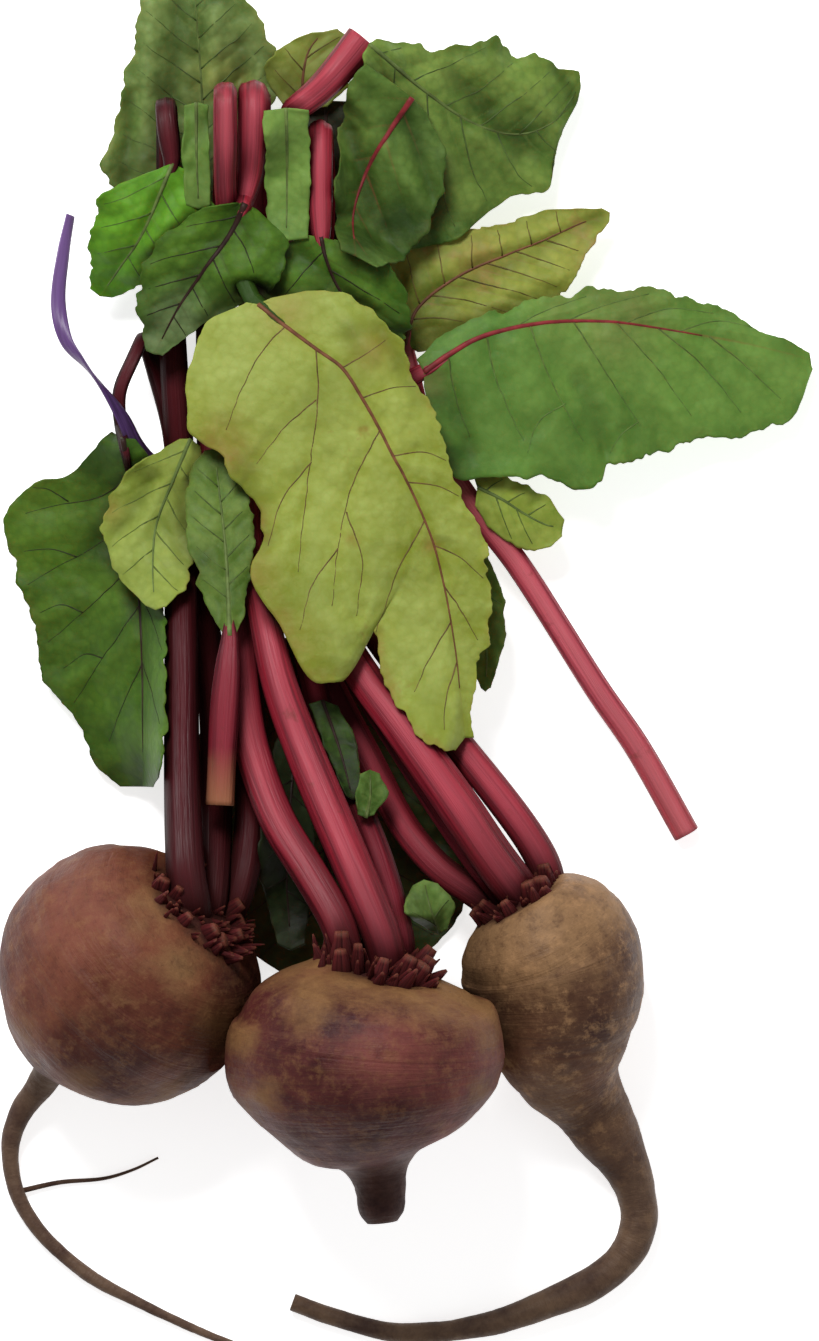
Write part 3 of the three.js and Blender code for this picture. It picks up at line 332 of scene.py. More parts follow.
            [566, 518, 564, 526, 16, 563, 534],
        ],
    },
    {
        "name": "leaf_strip",
        "blade": [
            [264, 112, 286, 109, 35, 309, 112], [265, 170, 287, 170, 34, 310, 170],
            [266, 236, 286, 240, 33, 308, 238],
        ],
    },
    {
        "name": "leaf_strip_left",
        "blade": [
            [184, 104, 196, 101, 33, 208, 104], [182, 150, 196, 150, 33, 209, 150],
            [186, 204, 198, 208, 32, 210, 204],
        ],
    },
    {
        "name": "leaf_dark_under",
        "blade": [
            [303, 96, 325, 94, 5, 353, 95], [304, 170, 326, 170, 5, 350, 170],
            [305, 246, 326, 250, 5, 348, 246],
        ],
    },
    {
        "name": "leaf_dark_low",
        "blade": [
            [268, 640, 292, 636, 1.8, 316, 642], [228, 690, 300, 690, 1.8, 392, 692],
            [192, 750, 312, 755, 1.8, 446, 752], [190, 830, 322, 835, 1.8, 478, 824],
            [214, 900, 330, 905, 1.8, 470, 886], [244, 950, 336, 960, 1.8, 446, 938],
            [292, 985, 338, 992, 1.8, 388, 984],
        ],
    },
    {
        "name": "leaf_inner_right",
        "blade": [
            [366, 62, 412, 96, 27, 428, 112], [344, 96, 390, 128, 27, 446, 155],
            [338, 138, 366, 170, 25, 432, 212], [337, 205, 353, 212, 23, 405, 254],
            [341, 250, 356, 256, 22, 378, 267],
        ],
    },
    {
        "name": "leaf_small_yellow",
        "blade": [
            [180, 438, 190, 438, 30, 200, 446], [130, 470, 172, 480, 28, 204, 490],
            [98, 520, 155, 525, 26, 198, 540], [112, 570, 152, 570, 24, 190, 580],
            [146, 606, 155, 610, 23, 166, 606],
        ],
    },
]

# Stalks without a blade of their own, broken off under the leaves
BARE_STALKS = [
    {
        "name": "stalk_middle",
        "stalk": [
            [402, 972, 48, 3.6], [399, 935, 49, 3.8], [378, 858, 38, 3.8], [348, 782, 27, 3.7],
            [322, 715, 21, 3.6], [303, 640, 20, 3.4],
        ],
    },
    {
        "name": "stalk_right_inner",
        "stalk": [
            [516, 918, 24, 3.2], [502, 893, 30, 3.5], [476, 860, 31, 3.6], [434, 800, 28, 3.6],
            [388, 727, 23, 3.5], [348, 664, 16, 3.4], [336, 642, 14.5, 3.2],
        ],
    },
]

# Tints
GREEN_DARK = (0.025, 0.06, 0.007)
GREEN_MID = (0.06, 0.13, 0.012)
GREEN_LIGHT = (0.13, 0.22, 0.035)
YELLOW_DARK = (0.15, 0.2, 0.02)
# Near-black green, painted shade for the leaves that fill the dark gaps of the bunch
SHADE_BLACK_GREEN = (0.006, 0.012, 0.004)
VEIN_RED = (0.26, 0.025, 0.03)
VEIN_DARK = (0.035, 0.014, 0.01)
VEIN_GREEN = (0.14, 0.2, 0.05)
VEIN_BROWN = (0.2, 0.075, 0.035)
BROWN = (0.13, 0.07, 0.02)
RUST = (0.26, 0.15, 0.035)
TEAL = (0.15, 0.21, 0.085)


def leaf_look(dark, mid, light, vein, gap, patch, patches, **more):
    """Tints, the vein's tint, millimetres between side veins, and the tint and share of the patches.

    over is the first fold row that is seen from above, rib how far the midrib reaches, rib_half its half
    width, side the tint of the side veins, and hidden_end the share of the stalk's end that is green. A
    plain blade has no side veins, and a stalk that is apart doesn't run into its blade.
    """
    return dict(tints=(dark, mid, light), vein=vein, gap=gap, patch=patch, patches=patches, **more)


# The leaves in the bunch's gaps, leaf_dark_centre, leaf_dark_inner, leaf_dark_under and leaf_dark_low, are
# tinted near black as painted shade.
LEAF_LOOKS = {
    "leaf_lower_left": leaf_look(
        (0.02, 0.055, 0.005), (0.05, 0.125, 0.007), (0.1, 0.2, 0.02), VEIN_DARK, 11, BROWN, 0.08, over=2,
        rib_half=0.7),
    "leaf_top": leaf_look(
        (0.045, 0.095, 0.015), (0.12, 0.205, 0.04), (0.21, 0.3, 0.09), VEIN_GREEN, 9, (0.25, 0.27, 0.06),
        0.2, rib_half=0.45),
    "leaf_upper_right": leaf_look(
        (0.035, 0.085, 0.01), (0.1, 0.19, 0.025), (0.2, 0.3, 0.06), VEIN_GREEN, 12, YELLOW_DARK, 0.15,
        over=2, apart=True, rib_half=0.5),
    "leaf_right": leaf_look(
        (0.06, 0.15, 0.02), (0.115, 0.245, 0.035), (0.17, 0.31, 0.06), VEIN_RED, 13, (0.2, 0.17, 0.06),
        0.04, over=0, rib=0.72, side=(0.12, 0.2, 0.045), rib_half=0.75),
    "leaf_bright_left": leaf_look(
        (0.03, 0.11, 0.004), (0.07, 0.23, 0.007), (0.13, 0.33, 0.02), VEIN_GREEN, 11, YELLOW_DARK, 0.06,
        over=1, rib_half=0.5),
    "leaf_front": leaf_look(
        (0.19, 0.235, 0.02), (0.285, 0.335, 0.05), (0.34, 0.41, 0.11), VEIN_BROWN, 17, RUST, 0.22, over=1,
        side=(0.17, 0.1, 0.035), rib_half=0.5, hidden_end=0.12),
    "leaf_upper_left": leaf_look(
        (0.015, 0.04, 0.003), (0.04, 0.1, 0.006), (0.09, 0.19, 0.015), VEIN_DARK, 10, TEAL, -0.4, over=1,
        rib_half=0.8),
    "leaf_middle": leaf_look(
        (0.018, 0.055, 0.004), (0.05, 0.13, 0.008), (0.1, 0.2, 0.02), VEIN_DARK, 12, YELLOW_DARK, 0.05,
        over=1, rib_half=0.5),
    "leaf_yellow": leaf_look(
        (0.1, 0.15, 0.014), (0.19, 0.235, 0.03), (0.3, 0.33, 0.06), VEIN_BROWN, 9, (0.27, 0.18, 0.05), 0.4,
        rib_half=0.4),
    "leaf_cut_small": leaf_look(
        (0.05, 0.1, 0.01), (0.1, 0.175, 0.02), (0.19, 0.27, 0.06), VEIN_GREEN, 8, BROWN, 0.15,
        rib_half=0.6),
    "leaf_dark_centre": leaf_look(
        SHADE_BLACK_GREEN, (0.014, 0.028, 0.006), GREEN_MID, VEIN_DARK, 8, BROWN, 0.1),
    "leaf_behind_fold": leaf_look(
        YELLOW_DARK, (0.2, 0.25, 0.05), (0.28, 0.33, 0.09), VEIN_BROWN, 8, BROWN, 0.3),
    "leaf_dark_inner": leaf_look(
        SHADE_BLACK_GREEN, (0.012, 0.028, 0.006), (0.035, 0.07, 0.015), VEIN_DARK, 9, BROWN, 0.1),
    "leaflet_centre": leaf_look(
        GREEN_DARK, (0.1, 0.19, 0.03), (0.2, 0.3, 0.08), VEIN_GREEN, 5, BROWN, 0.2),
    "leaflet_crown": leaf_look(
        GREEN_DARK, (0.1, 0.19, 0.03), (0.2, 0.3, 0.08), VEIN_GREEN, 6, BROWN, 0.2),
    "leaf_under_front": leaf_look(
        GREEN_DARK, GREEN_MID, GREEN_LIGHT, VEIN_GREEN, 8, BROWN, 0.2),
    "leaf_lobed": leaf_look(
        (0.12, 0.19, 0.015), (0.23, 0.3, 0.04), (0.32, 0.38, 0.08), VEIN_GREEN, 7, RUST, 0.2),
    "leaf_strip": leaf_look(
        (0.06, 0.14, 0.02), (0.12, 0.23, 0.035), (0.2, 0.31, 0.07), VEIN_GREEN, 9, YELLOW_DARK, 0.05,
        plain=True),
    "leaf_inner_right": leaf_look(
        GREEN_DARK, (0.075, 0.145, 0.02), (0.14, 0.23, 0.045), VEIN_RED, 10, BROWN, 0.1, plain=True,
        rib_half=0.8),
    "leaf_strip_left": leaf_look(
        (0.05, 0.12, 0.015), (0.1, 0.2, 0.03), (0.18, 0.28, 0.06), VEIN_GREEN, 9, YELLOW_DARK, 0.05,
        plain=True),
    "leaf_dark_under": leaf_look(
        SHADE_BLACK_GREEN, (0.012, 0.025, 0.006), (0.03, 0.06, 0.015), VEIN_DARK, 9, BROWN, 0.1, plain=True),
    "leaf_dark_low": leaf_look(
        (0.01, 0.024, 0.005), (0.028, 0.06, 0.01), (0.06, 0.11, 0.02), VEIN_DARK, 14, (0.06, 0.025, 0.012),
        0.3),
    "leaf_small_yellow": leaf_look(
        (0.14, 0.19, 0.02), (0.23, 0.29, 0.04), (0.32, 0.39, 0.09), VEIN_GREEN, 10, RUST, 0.15),
}

# The tie's free end and its knot: column, row, height, half width and turn in degrees
TIE_TAIL = [
    [178, 464, 17.4, 2.3, 0], [168, 468, 17.6, 2.4, 0], [150, 463, 20, 2.9, 5], [135, 446, 25, 3.2, 10],
    [122, 418, 28, 2.9, 15], [106, 393, 27.5, 2.4, 30], [84, 364, 26, 2, 70], [64, 338, 24, 2, 120],
    [56, 300, 22, 2.1, 170], [61, 250, 20, 2.1, 190], [68, 212, 18, 1.8, 200],
]
TIE_KNOT = [[178, 460, 17.5, 3.2, 0], [168, 466, 18.6, 3.6, 0], [158, 470, 18, 3, 0]]

# Spots of tint, by kind: column, row, radius in steps and strength
SPOTS = {
    # The beets' red spots are partly redder skin and partly painted highlight, their dark spots partly dark
    # skin and partly painted shade; the tan spots are tan skin.
    "beet_front": {
        "tan": [
            (310, 992, 40, 0.8), (440, 990, 40, 0.8), (375, 984, 40, 0.7), (240, 1035, 26, 0.8),
            (492, 1030, 24, 0.7), (262, 1092, 26, 0.7), (478, 1085, 18, 0.5),
        ],
        "red_and_highlight": [(385, 1052, 55, 0.75), (325, 1040, 30, 0.4)],
        "dark": [(372, 1126, 62, 0.7), (310, 1130, 30, 0.5), (380, 1185, 40, 0.8)],
    },
    "beet_left": {
        "red_and_highlight": [(75, 915, 60, 0.8), (50, 970, 45, 0.5), (105, 870, 40, 0.4)],
        "tan": [
            (150, 905, 40, 0.7), (178, 965, 36, 0.8), (222, 1015, 36, 0.8), (110, 1000, 36, 0.4),
            (30, 1030, 24, 0.6), (85, 1078, 30, 0.6), (165, 1098, 36, 0.6),
        ],
        "dark": [(120, 1048, 50, 0.5), (205, 1060, 40, 0.4), (235, 985, 24, 0.8), (165, 985, 18, 0.3)],
    },
    "beet_right": {
        "tan": [(560, 912, 44, 0.8), (505, 955, 38, 0.9), (545, 975, 34, 0.6), (600, 960, 36, 0.5)],
        "red_and_highlight": [(520, 1060, 40, 0.7), (590, 1075, 40, 0.5)],
        "dark": [
            (598, 1028, 24, 0.9), (560, 1052, 36, 0.6), (500, 1010, 24, 0.5), (640, 1000, 20, 0.5),
            (600, 1130, 30, 0.4), (470, 1000, 22, 0.7),
        ],
    },
    # The leaves' spots of light are painted light and their spots of shade painted shade; the odd spots are
    # patches of their own colour.
    "leaf_front": {
        "shade": [(240, 470, 22, 0.8), (255, 535, 12, 0.9), (352, 330, 16, 0.7), (300, 600, 30, 0.3)],
        "odd": [
            (225, 440, 26, 0.7), (250, 520, 16, 0.9), (285, 312, 26, 0.5), (372, 352, 18, 0.6),
            (262, 575, 22, 0.4), (352, 540, 6, 0.9), (430, 545, 8, 0.8), (300, 640, 30, 0.3),
            (380, 680, 14, 0.4),
        ],
        "painted_light": [(235, 380, 40, 0.6), (300, 420, 60, 0.3), (430, 660, 40, 0.4), (345, 300, 20, 0.5)],
    },
    "leaf_lower_left": {
        "painted_light": [(50, 510, 40, 0.5), (60, 640, 40, 0.35), (152, 740, 16, 0.9), (20, 560, 20, 0.4)],
        "shade": [(100, 540, 30, 0.7), (120, 640, 30, 0.4), (90, 470, 24, 0.5), (75, 600, 20, 0.4)],
    },
    "leaf_right": {
        "shade": [
            (440, 400, 30, 0.9), (455, 455, 26, 1.0), (640, 440, 40, 0.4), (790, 345, 20, 0.4),
            (560, 400, 30, 0.3),
        ],
        "odd": [(430, 378, 16, 0.6), (620, 308, 50, 0.5), (560, 304, 30, 0.4)],
        "painted_light": [(600, 350, 50, 0.4), (500, 420, 36, 0.35), (720, 390, 40, 0.3)],
    },
    "leaf_upper_left": {
        "odd": [(180, 325, 34, 1.0), (158, 342, 20, 1.0)],
        "painted_light": [(190, 260, 30, 0.4)],
        "shade": [(225, 300, 20, 0.5)],
    },
    "leaf_bright_left": {
        "painted_light": [(120, 240, 40, 0.7)],
        "shade": [(150, 180, 20, 0.5), (100, 285, 14, 0.6)],
    },
    "leaf_middle": {
        "shade": [(395, 330, 26, 0.7), (340, 285, 20, 0.5)],
        "painted_light": [(270, 270, 30, 0.5)],
    },
    "leaf_top": {
        "odd": [(215, 70, 24, 0.8), (240, 76, 16, 0.6)],
        "painted_light": [(160, 60, 40, 0.4), (240, 40, 30, 0.5)],
        "shade": [(130, 150, 24, 0.5)],
    },
    "leaf_upper_right": {
        "painted_light": [(430, 66, 40, 0.7), (530, 70, 30, 0.4), (520, 165, 14, 0.7)],
        "shade": [(520, 130, 26, 0.8), (430, 200, 36, 0.8), (470, 160, 30, 0.4)],
    },
    "leaf_inner_right": {
        "shade": [(400, 220, 30, 1.0), (360, 236, 26, 0.9)],
        "painted_light": [(352, 130, 20, 0.8), (420, 150, 24, 0.4)],
    },
    "leaf_yellow": {
        "odd": [(480, 255, 22, 0.9), (590, 260, 16, 0.7)],
        "shade": [(420, 290, 30, 0.7), (440, 320, 20, 0.6)],
        "painted_light": [(560, 235, 30, 0.7), (500, 300, 20, 0.4)],
    },
    "leaf_small_yellow": {
        "shade": [(180, 520, 18, 0.6)],
        "painted_light": [(150, 540, 24, 0.5)],
        "odd": [(110, 510, 12, 0.6)],
    },
    "leaf_cut_small": {
        "shade": [(205, 560, 16, 0.6)],
        "painted_light": [(215, 520, 14, 0.4)],
    },
}

# Folds of the blades: start and end in columns and rows, height and half width in millimetres
# Each fold's rise is also painted lighter and its hollow darker, as painted light and painted shade
FOLDS = {
    "leaf_top": [
        (150, 0, 142, 150, 1.6, 3.2), (176, 0, 168, 140, -1.4, 2.6), (216, 10, 206, 130, 1.5, 3),
        (240, 40, 236, 130, -1.4, 2.6), (258, 60, 250, 120, 1.2, 2.5), (128, 90, 122, 180, -1.2, 2.5),
    ],
    "leaf_upper_right": [
        (372, 50, 470, 200, 1.8, 4), (380, 44, 540, 80, 1.5, 4), (400, 80, 420, 210, -1.6, 4),
        (450, 60, 520, 150, -1.8, 4), (500, 60, 560, 120, 1.4, 3), (480, 130, 540, 180, 1.6, 3.4),
        (560, 64, 578, 96, -1.2, 2.5),
    ],
    "leaf_inner_right": [
        (352, 90, 420, 200, 1.2, 3), (350, 130, 380, 240, -1.4, 3), (410, 120, 430, 190, -1.2, 3),
    ],
    "leaf_middle": [
        (270, 258, 330, 330, 1.3, 3.4), (330, 262, 392, 322, 1.5, 3.4), (300, 252, 360, 300, -1.2, 3),
    ],
    "leaf_upper_left": [
        (236, 214, 150, 330, -1.2, 3), (210, 214, 150, 270, 1.3, 3.4), (272, 240, 200, 312, 1.3, 3.4),
    ],
    "leaf_bright_left": [
        (160, 180, 104, 250, 1.2, 3.4), (190, 200, 130, 268, 1.3, 3.4), (170, 190, 110, 270, -1, 2.6),
    ],
    "leaf_yellow": [
        (410, 310, 600, 214, -1, 2.5), (440, 262, 560, 222, 1, 3), (450, 320, 560, 270, 1.2, 3),
    ],
    "leaf_lower_left": [
        (20, 540, 100, 520, 1.2, 4), (30, 620, 120, 580, 1.3, 4), (60, 690, 130, 640, 1.2, 4),
    ],
    "leaf_right": [
        (440, 380, 470, 450, -1.6, 4), (520, 350, 560, 450, 1, 5), (640, 350, 690, 420, 1, 5),
        (745, 330, 800, 380, 1.2, 5), (580, 380, 610, 450, -1.2, 4),
    ],
    "leaf_front": [
        (330, 300, 372, 352, 1.3, 3.4), (380, 330, 420, 400, -1.2, 3), (230, 430, 262, 540, -1.2, 3.4),
        (320, 600, 352, 670, 1.1, 4), (200, 360, 240, 470, 1, 5),
    ],
    "leaf_small_yellow": [(190, 450, 120, 560, 1.2, 3.2), (150, 480, 120, 530, -1, 2.6)],
}

# Curves


def place(row):
    """A table's row with its column and row turned into x and y in millimetres."""
    column, line, *rest = row
    return [(column - ORIGIN_COLUMN) * GRID_STEP, (ORIGIN_ROW - line) * GRID_STEP, *rest]


def curve_through(rows):
    """A smooth curve through rows of numbers, read at a share of its length from 0 to 1."""
    rows = np.array(rows, float)
    steps = np.maximum(np.linalg.norm(np.diff(rows[:, :3], axis=0), axis=1), 1e-6)
    at = np.concatenate([[0], np.cumsum(steps)])
    slope = np.empty_like(rows)
    for i in range(len(rows)):
        before = max(i - 1, 0)
        after = min(i + 1, len(rows) - 1)
        slope[i] = (rows[after] - rows[before]) / (at[after] - at[before])

    def read(share):
        target = min(max(share, 0), 1) * at[-1]
        i = min(int(np.searchsorted(at, target, side="right")) - 1, len(rows) - 2)
        span = at[i + 1] - at[i]
        t = (target - at[i]) / span
        return ((1 + 2 * t) * (1 - t) ** 2 * rows[i] + t * t * (3 - 2 * t) * rows[i + 1]
                + t * (1 - t) ** 2 * span * slope[i] + t * t * (t - 1) * span * slope[i + 1])

    read.length = at[-1]
    read.at = at
    return read


def samples(rows, step):
    """Points along the smooth curve through rows, about a step apart."""
    curve = curve_through(rows)
    count = max(4, int(math.ceil(curve.length / step)))
    return np.array([curve(i / count) for i in range(count + 1)])


def evened(rows, rounds):
    """Rows with each inner one drawn towards its neighbours."""
    rows = rows.copy()
    for _ in range(rounds):
        rows[1:-1] = (rows[:-2] + rows[2:] + 2 * rows[1:-1]) / 4
    return rows


# Heights read from the solids of the frame


def tree_of(node):
    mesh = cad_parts[node].data
    points = [vertex.co.copy() for vertex in mesh.vertices]
    return BVHTree.FromPolygons(points, [tuple(polygon.vertices) for polygon in mesh.polygons])


def top_height(tree, x, y):
    """The height of the solid's top at x and y, all in millimetres, or None beside it."""
    hit = tree.ray_cast(Vector((x * MM, y * MM, 0.3)), Vector((0, 0, -1)))
    if hit[0] is None:
        return None
    return hit[0].z / MM


# Meshes


def make_object(name, points, faces, uv, tags, material):
    """A mesh object from points in millimetres, with UVs and named values for its points."""
    mesh = bpy.data.meshes.new(name)
    mesh.from_pydata([tuple(p) for p in np.asarray(points) * MM], [], faces)
    mesh.validate()
    mesh.polygons.foreach_set("use_smooth", [True] * len(mesh.polygons))
    layer = mesh.uv_layers.new(name="UVMap")
    corners = np.empty(len(mesh.loops), np.int32)
    mesh.loops.foreach_get("vertex_index", corners)
    layer.data.foreach_set("uv", np.asarray(uv, np.float32)[corners].ravel())
    for tag, values in tags.items():
        attribute = mesh.attributes.new(tag, "FLOAT", "POINT")
        attribute.data.foreach_set("value", np.asarray(values, np.float32))
    mesh.materials.append(material)
    obj = bpy.data.objects.new(name, mesh)
    bpy.context.collection.objects.link(obj)
    return obj


def thicken(obj, thickness, offset):
    """A thickness in millimetres for an open surface."""
    modifier = obj.modifiers.new("thickness", "SOLIDIFY")
    modifier.thickness = thickness * MM
    modifier.offset = offset


def tube(rows, sides, flatness=STALK_FLATNESS, shape=None, turn=None):
    """Points, faces and UVs of a closed tube along rows of x, y, z and half width.

    shape(angle, share) scales it, and turn holds its twist at each row in degrees.
    """
    rows = np.asarray(rows, float)
    centres = [Vector(row[:3]) for row in rows]
    count = len(centres)
    headings = []
    for i in range(count):
        step = centres[min(i + 1, count - 1)] - centres[max(i - 1, 0)]
        headings.append(step.normalized())
    side = headings[0].cross(Vector((0, 0, 1)))
    side = side.normalized() if side.length > 1e-6 else Vector((1, 0, 0))
    points, faces, uv = [], [], []
    run = 0
    for i in range(count):
        if i > 0:
            side = headings[i - 1].rotation_difference(headings[i]) @ side
            run += (centres[i] - centres[i - 1]).length
        across = side
        if turn is not None:
            across = Quaternion(headings[i], math.radians(turn[i])) @ side
        up = across.cross(headings[i]).normalized()
        share = i / (count - 1)
        for k in range(sides):
            angle = 2 * math.pi * k / sides
            scale = shape(angle, share) if shape else 1
            points.append(centres[i] + across * (math.cos(angle) * rows[i][3] * scale)
                          + up * (math.sin(angle) * rows[i][3] * flatness * scale))
            uv.append((k / sides, run / 100))
    for i in range(count - 1):
        for k in range(sides):
            a, b = i * sides + k, i * sides + (k + 1) % sides
            faces.append((a, a + sides, b + sides, b))
    faces.append(tuple(range(sides)))
    faces.append(tuple((count - 1) * sides + k for k in reversed(range(sides))))
    return np.array([tuple(p) for p in points]), faces, np.array(uv)


def joined(parts):
    """Several lists of points, faces, UVs and tags as one."""
    points, faces, uv, tags = [], [], [], {}
    offset = 0
    for part_points, part_faces, part_uv, part_tags in parts:
        points.append(part_points)
        faces.extend(tuple(v + offset for v in face) for face in part_faces)
        uv.append(part_uv)
        for tag, values in part_tags.items():
            tags.setdefault(tag, []).append(values)
        offset += len(part_points)
    return np.vstack(points), faces, np.vstack(uv), {tag: np.concatenate(v) for tag, v in tags.items()}


def field(x, y, z, size, seed=0):
    """Smooth noise whose bumps are about a size across."""
    return noise.noise(Vector((x / size + seed * 7.3, y / size - seed * 3.1, z / size + seed)))


def layered(layers, x, y, z, seed):
    """Noise of several sizes, from layers of height, size and shift of the last value."""
    return sum(height * field(x, y, z + shift, size, seed) for height, size, shift in layers)


def spotted(name, kind, points):
    """How strongly the listed spots of one kind cover each point, from 0 to 1."""
    cover = np.zeros(len(points))
    for column, line, radius, strength in SPOTS.get(name, {}).get(kind, []):
        x, y = place([column, line])
        away = np.hypot(points[:, 0] - x, points[:, 1] - y) / (radius * GRID_STEP)
        cover = np.maximum(cover, strength * np.exp(-away ** 2))
    return cover


# Materials


class Shader:
    """Adds nodes to a material and links them, left to right."""

    def __init__(self, name):
        self.material = bpy.data.materials.new(name)
        self.material.use_nodes = True
        self.tree = self.material.node_tree
        self.principled = self.tree.nodes["Principled BSDF"]

    def set(self, target, value):
        if isinstance(value, bpy.types.NodeSocket):
            self.tree.links.new(value, target)
        elif isinstance(value, tuple) and len(value) == 3 and target.type == "RGBA":
            target.default_value = (*value, 1)
        else:
            target.default_value = value

    def attribute(self, name):
        node = self.tree.nodes.new("ShaderNodeAttribute")
        node.attribute_name = name
        return node.outputs["Fac"]

    def place(self, kind="Object", scale=(1, 1, 1), shift=(0, 0, 0)):
        coordinates = self.tree.nodes.new("ShaderNodeTexCoord")
        mapping = self.tree.nodes.new("ShaderNodeMapping")
        self.set(mapping.inputs["Vector"], coordinates.outputs[kind])
        mapping.inputs["Scale"].default_value = scale
        mapping.inputs["Location"].default_value = shift
        return mapping.outputs["Vector"]

    def noise(self, vector, scale, detail=3, rough=0.55, distortion=0):
        node = self.tree.nodes.new("ShaderNodeTexNoise")
        self.set(node.inputs["Vector"], vector)
        node.inputs["Scale"].default_value = scale
        node.inputs["Detail"].default_value = detail
        node.inputs["Roughness"].default_value = rough
        node.inputs["Distortion"].default_value = distortion
        return node.outputs["Fac"]

    def cells(self, vector, scale):
        node = self.tree.nodes.new("ShaderNodeTexVoronoi")
        self.set(node.inputs["Vector"], vector)
        node.inputs["Scale"].default_value = scale
        return node.outputs["Distance"]

    def stretch(self, value, low, high, out_low=0.0, out_high=1.0):
        node = self.tree.nodes.new("ShaderNodeMapRange")
        self.set(node.inputs["Value"], value)
        node.inputs["From Min"].default_value = low
        node.inputs["From Max"].default_value = high
        node.inputs["To Min"].default_value = out_low
        node.inputs["To Max"].default_value = out_high
        return node.outputs["Result"]

    def math(self, operation, a, b=0.0):
        node = self.tree.nodes.new("ShaderNodeMath")
        node.operation = operation
        self.set(node.inputs[0], a)
        self.set(node.inputs[1], b)
        return node.outputs[0]

    def mix(self, share, a, b):
        node = self.tree.nodes.new("ShaderNodeMix")
        node.data_type = "RGBA"
        self.set(node.inputs["Factor"], share)
        self.set([s for s in node.inputs if s.name == "A" and s.type == "RGBA"][0], a)
        self.set([s for s in node.inputs if s.name == "B" and s.type == "RGBA"][0], b)
        return [s for s in node.outputs if s.type == "RGBA"][0]

    def lay(self, under, over, value, low=0.0, high=1.0, least=0.0, most=1.0):
        """One colour over another: least of it where the value is low, most where it is high."""
        return self.mix(self.stretch(value, low, high, least, most), under, over)

    def soft(self, weight):
        """A little light that goes in and comes out again."""
        self.set(self.principled.inputs["Subsurface Weight"], weight)
        self.set(self.principled.inputs["Subsurface Scale"], 0.002)

    def bump(self, height, strength, distance):
        node = self.tree.nodes.new("ShaderNodeBump")
        self.set(node.inputs["Height"], height)
        node.inputs["Strength"].default_value = strength
        node.inputs["Distance"].default_value = distance
        self.set(self.principled.inputs["Normal"], node.outputs["Normal"])

    def painted_sky_shade(self, colour):
        """The colour, darkened with painted shade where the rest of the bunch hides the sky."""
        return self.lay(colour, (0.012, 0.005, 0.004), self.attribute("deep"), 0.12, 0.85, 0.0, 0.93)

    def finish(self, colour, rough, specular=0.4):
        self.set(self.principled.inputs["Base Color"], colour)
        self.set(self.principled.inputs["Roughness"], rough)
        self.set(self.principled.inputs["Specular IOR Level"], specular)
        return self.material


def scaled(colour, factor):
    return tuple(factor * value for value in colour)


def leaf_material(name, look):
    s = Shader(name)
    here = s.place(shift=(len(name) * 0.13, 0.1, 0))
    dark, mid, light = look["tints"]
    patch, patches = look["patch"], look["patches"]
    broad = s.noise(here, 34, 3)
    fine = s.noise(here, 260, 3, 0.65)
    colour = s.lay(dark, mid, broad, 0.36, 0.66)
    colour = s.mix(s.math("MULTIPLY", s.stretch(fine, 0.42, 0.7), 0.4), colour, light)
    # Rises between the veins are painted lighter, a painted highlight on the puckered blade
    colour = s.lay(colour, light, s.attribute("bulge"), 0.15, 1.0, 0.0, 0.3)
    wide = s.noise(here, 15, 3, 0.6, 0.5)
    colour = s.lay(colour, light, wide, 0.5, 0.66, 0.0, 0.45)
    colour = s.lay(colour, scaled(dark, 0.7), wide, 0.36, 0.46, 0.5, 0.0)
    uneven = s.stretch(s.noise(here, 120, 4, 0.7), 0.3, 0.7, -0.35, 0.35)
    deepest = scaled(dark, 0.55)
    # Spots of light and fold rises are painted light, spots of shade and fold hollows painted shade; the
    # odd spots are the leaf's own patches.
    for kind, tint, most in (("painted_light", light, 0.8), ("shade", deepest, 0.9), ("odd", patch, 0.75)):
        share = s.attribute(kind)
        colour = s.lay(colour, tint, s.math("ADD", share, s.math("MULTIPLY", uneven, share)), most=most)
    spots = s.noise(here, 62, 4, 0.7)
    colour = s.lay(colour, patch, spots, 0.72 - 0.3 * patches, 0.8 - 0.16 * patches, 0.0, 0.8)
    aged = s.stretch(spots, 0.45, 0.65, 0.0, min(0.8, max(0.0, 2.4 * patches)))
    colour = s.mix(s.math("MULTIPLY", s.stretch(s.attribute("rim"), 0.86, 1.0), aged), colour, patch)
    net = s.cells(here, 420)
    colour = s.lay(colour, dark, net, 0.35, 0.75, 0.0, 0.25)
    colour = s.lay(colour, look["vein"], s.attribute("vein"), 0.25, 0.9)
    s.bump(s.math("ADD", s.math("MULTIPLY", fine, 0.6), s.math("MULTIPLY", net, -0.4)), 0.5, 0.0006)
    s.soft(0.08)
    return s.finish(s.painted_sky_shade(colour), s.stretch(fine, 0.3, 0.7, 0.5, 0.66), 0.16)


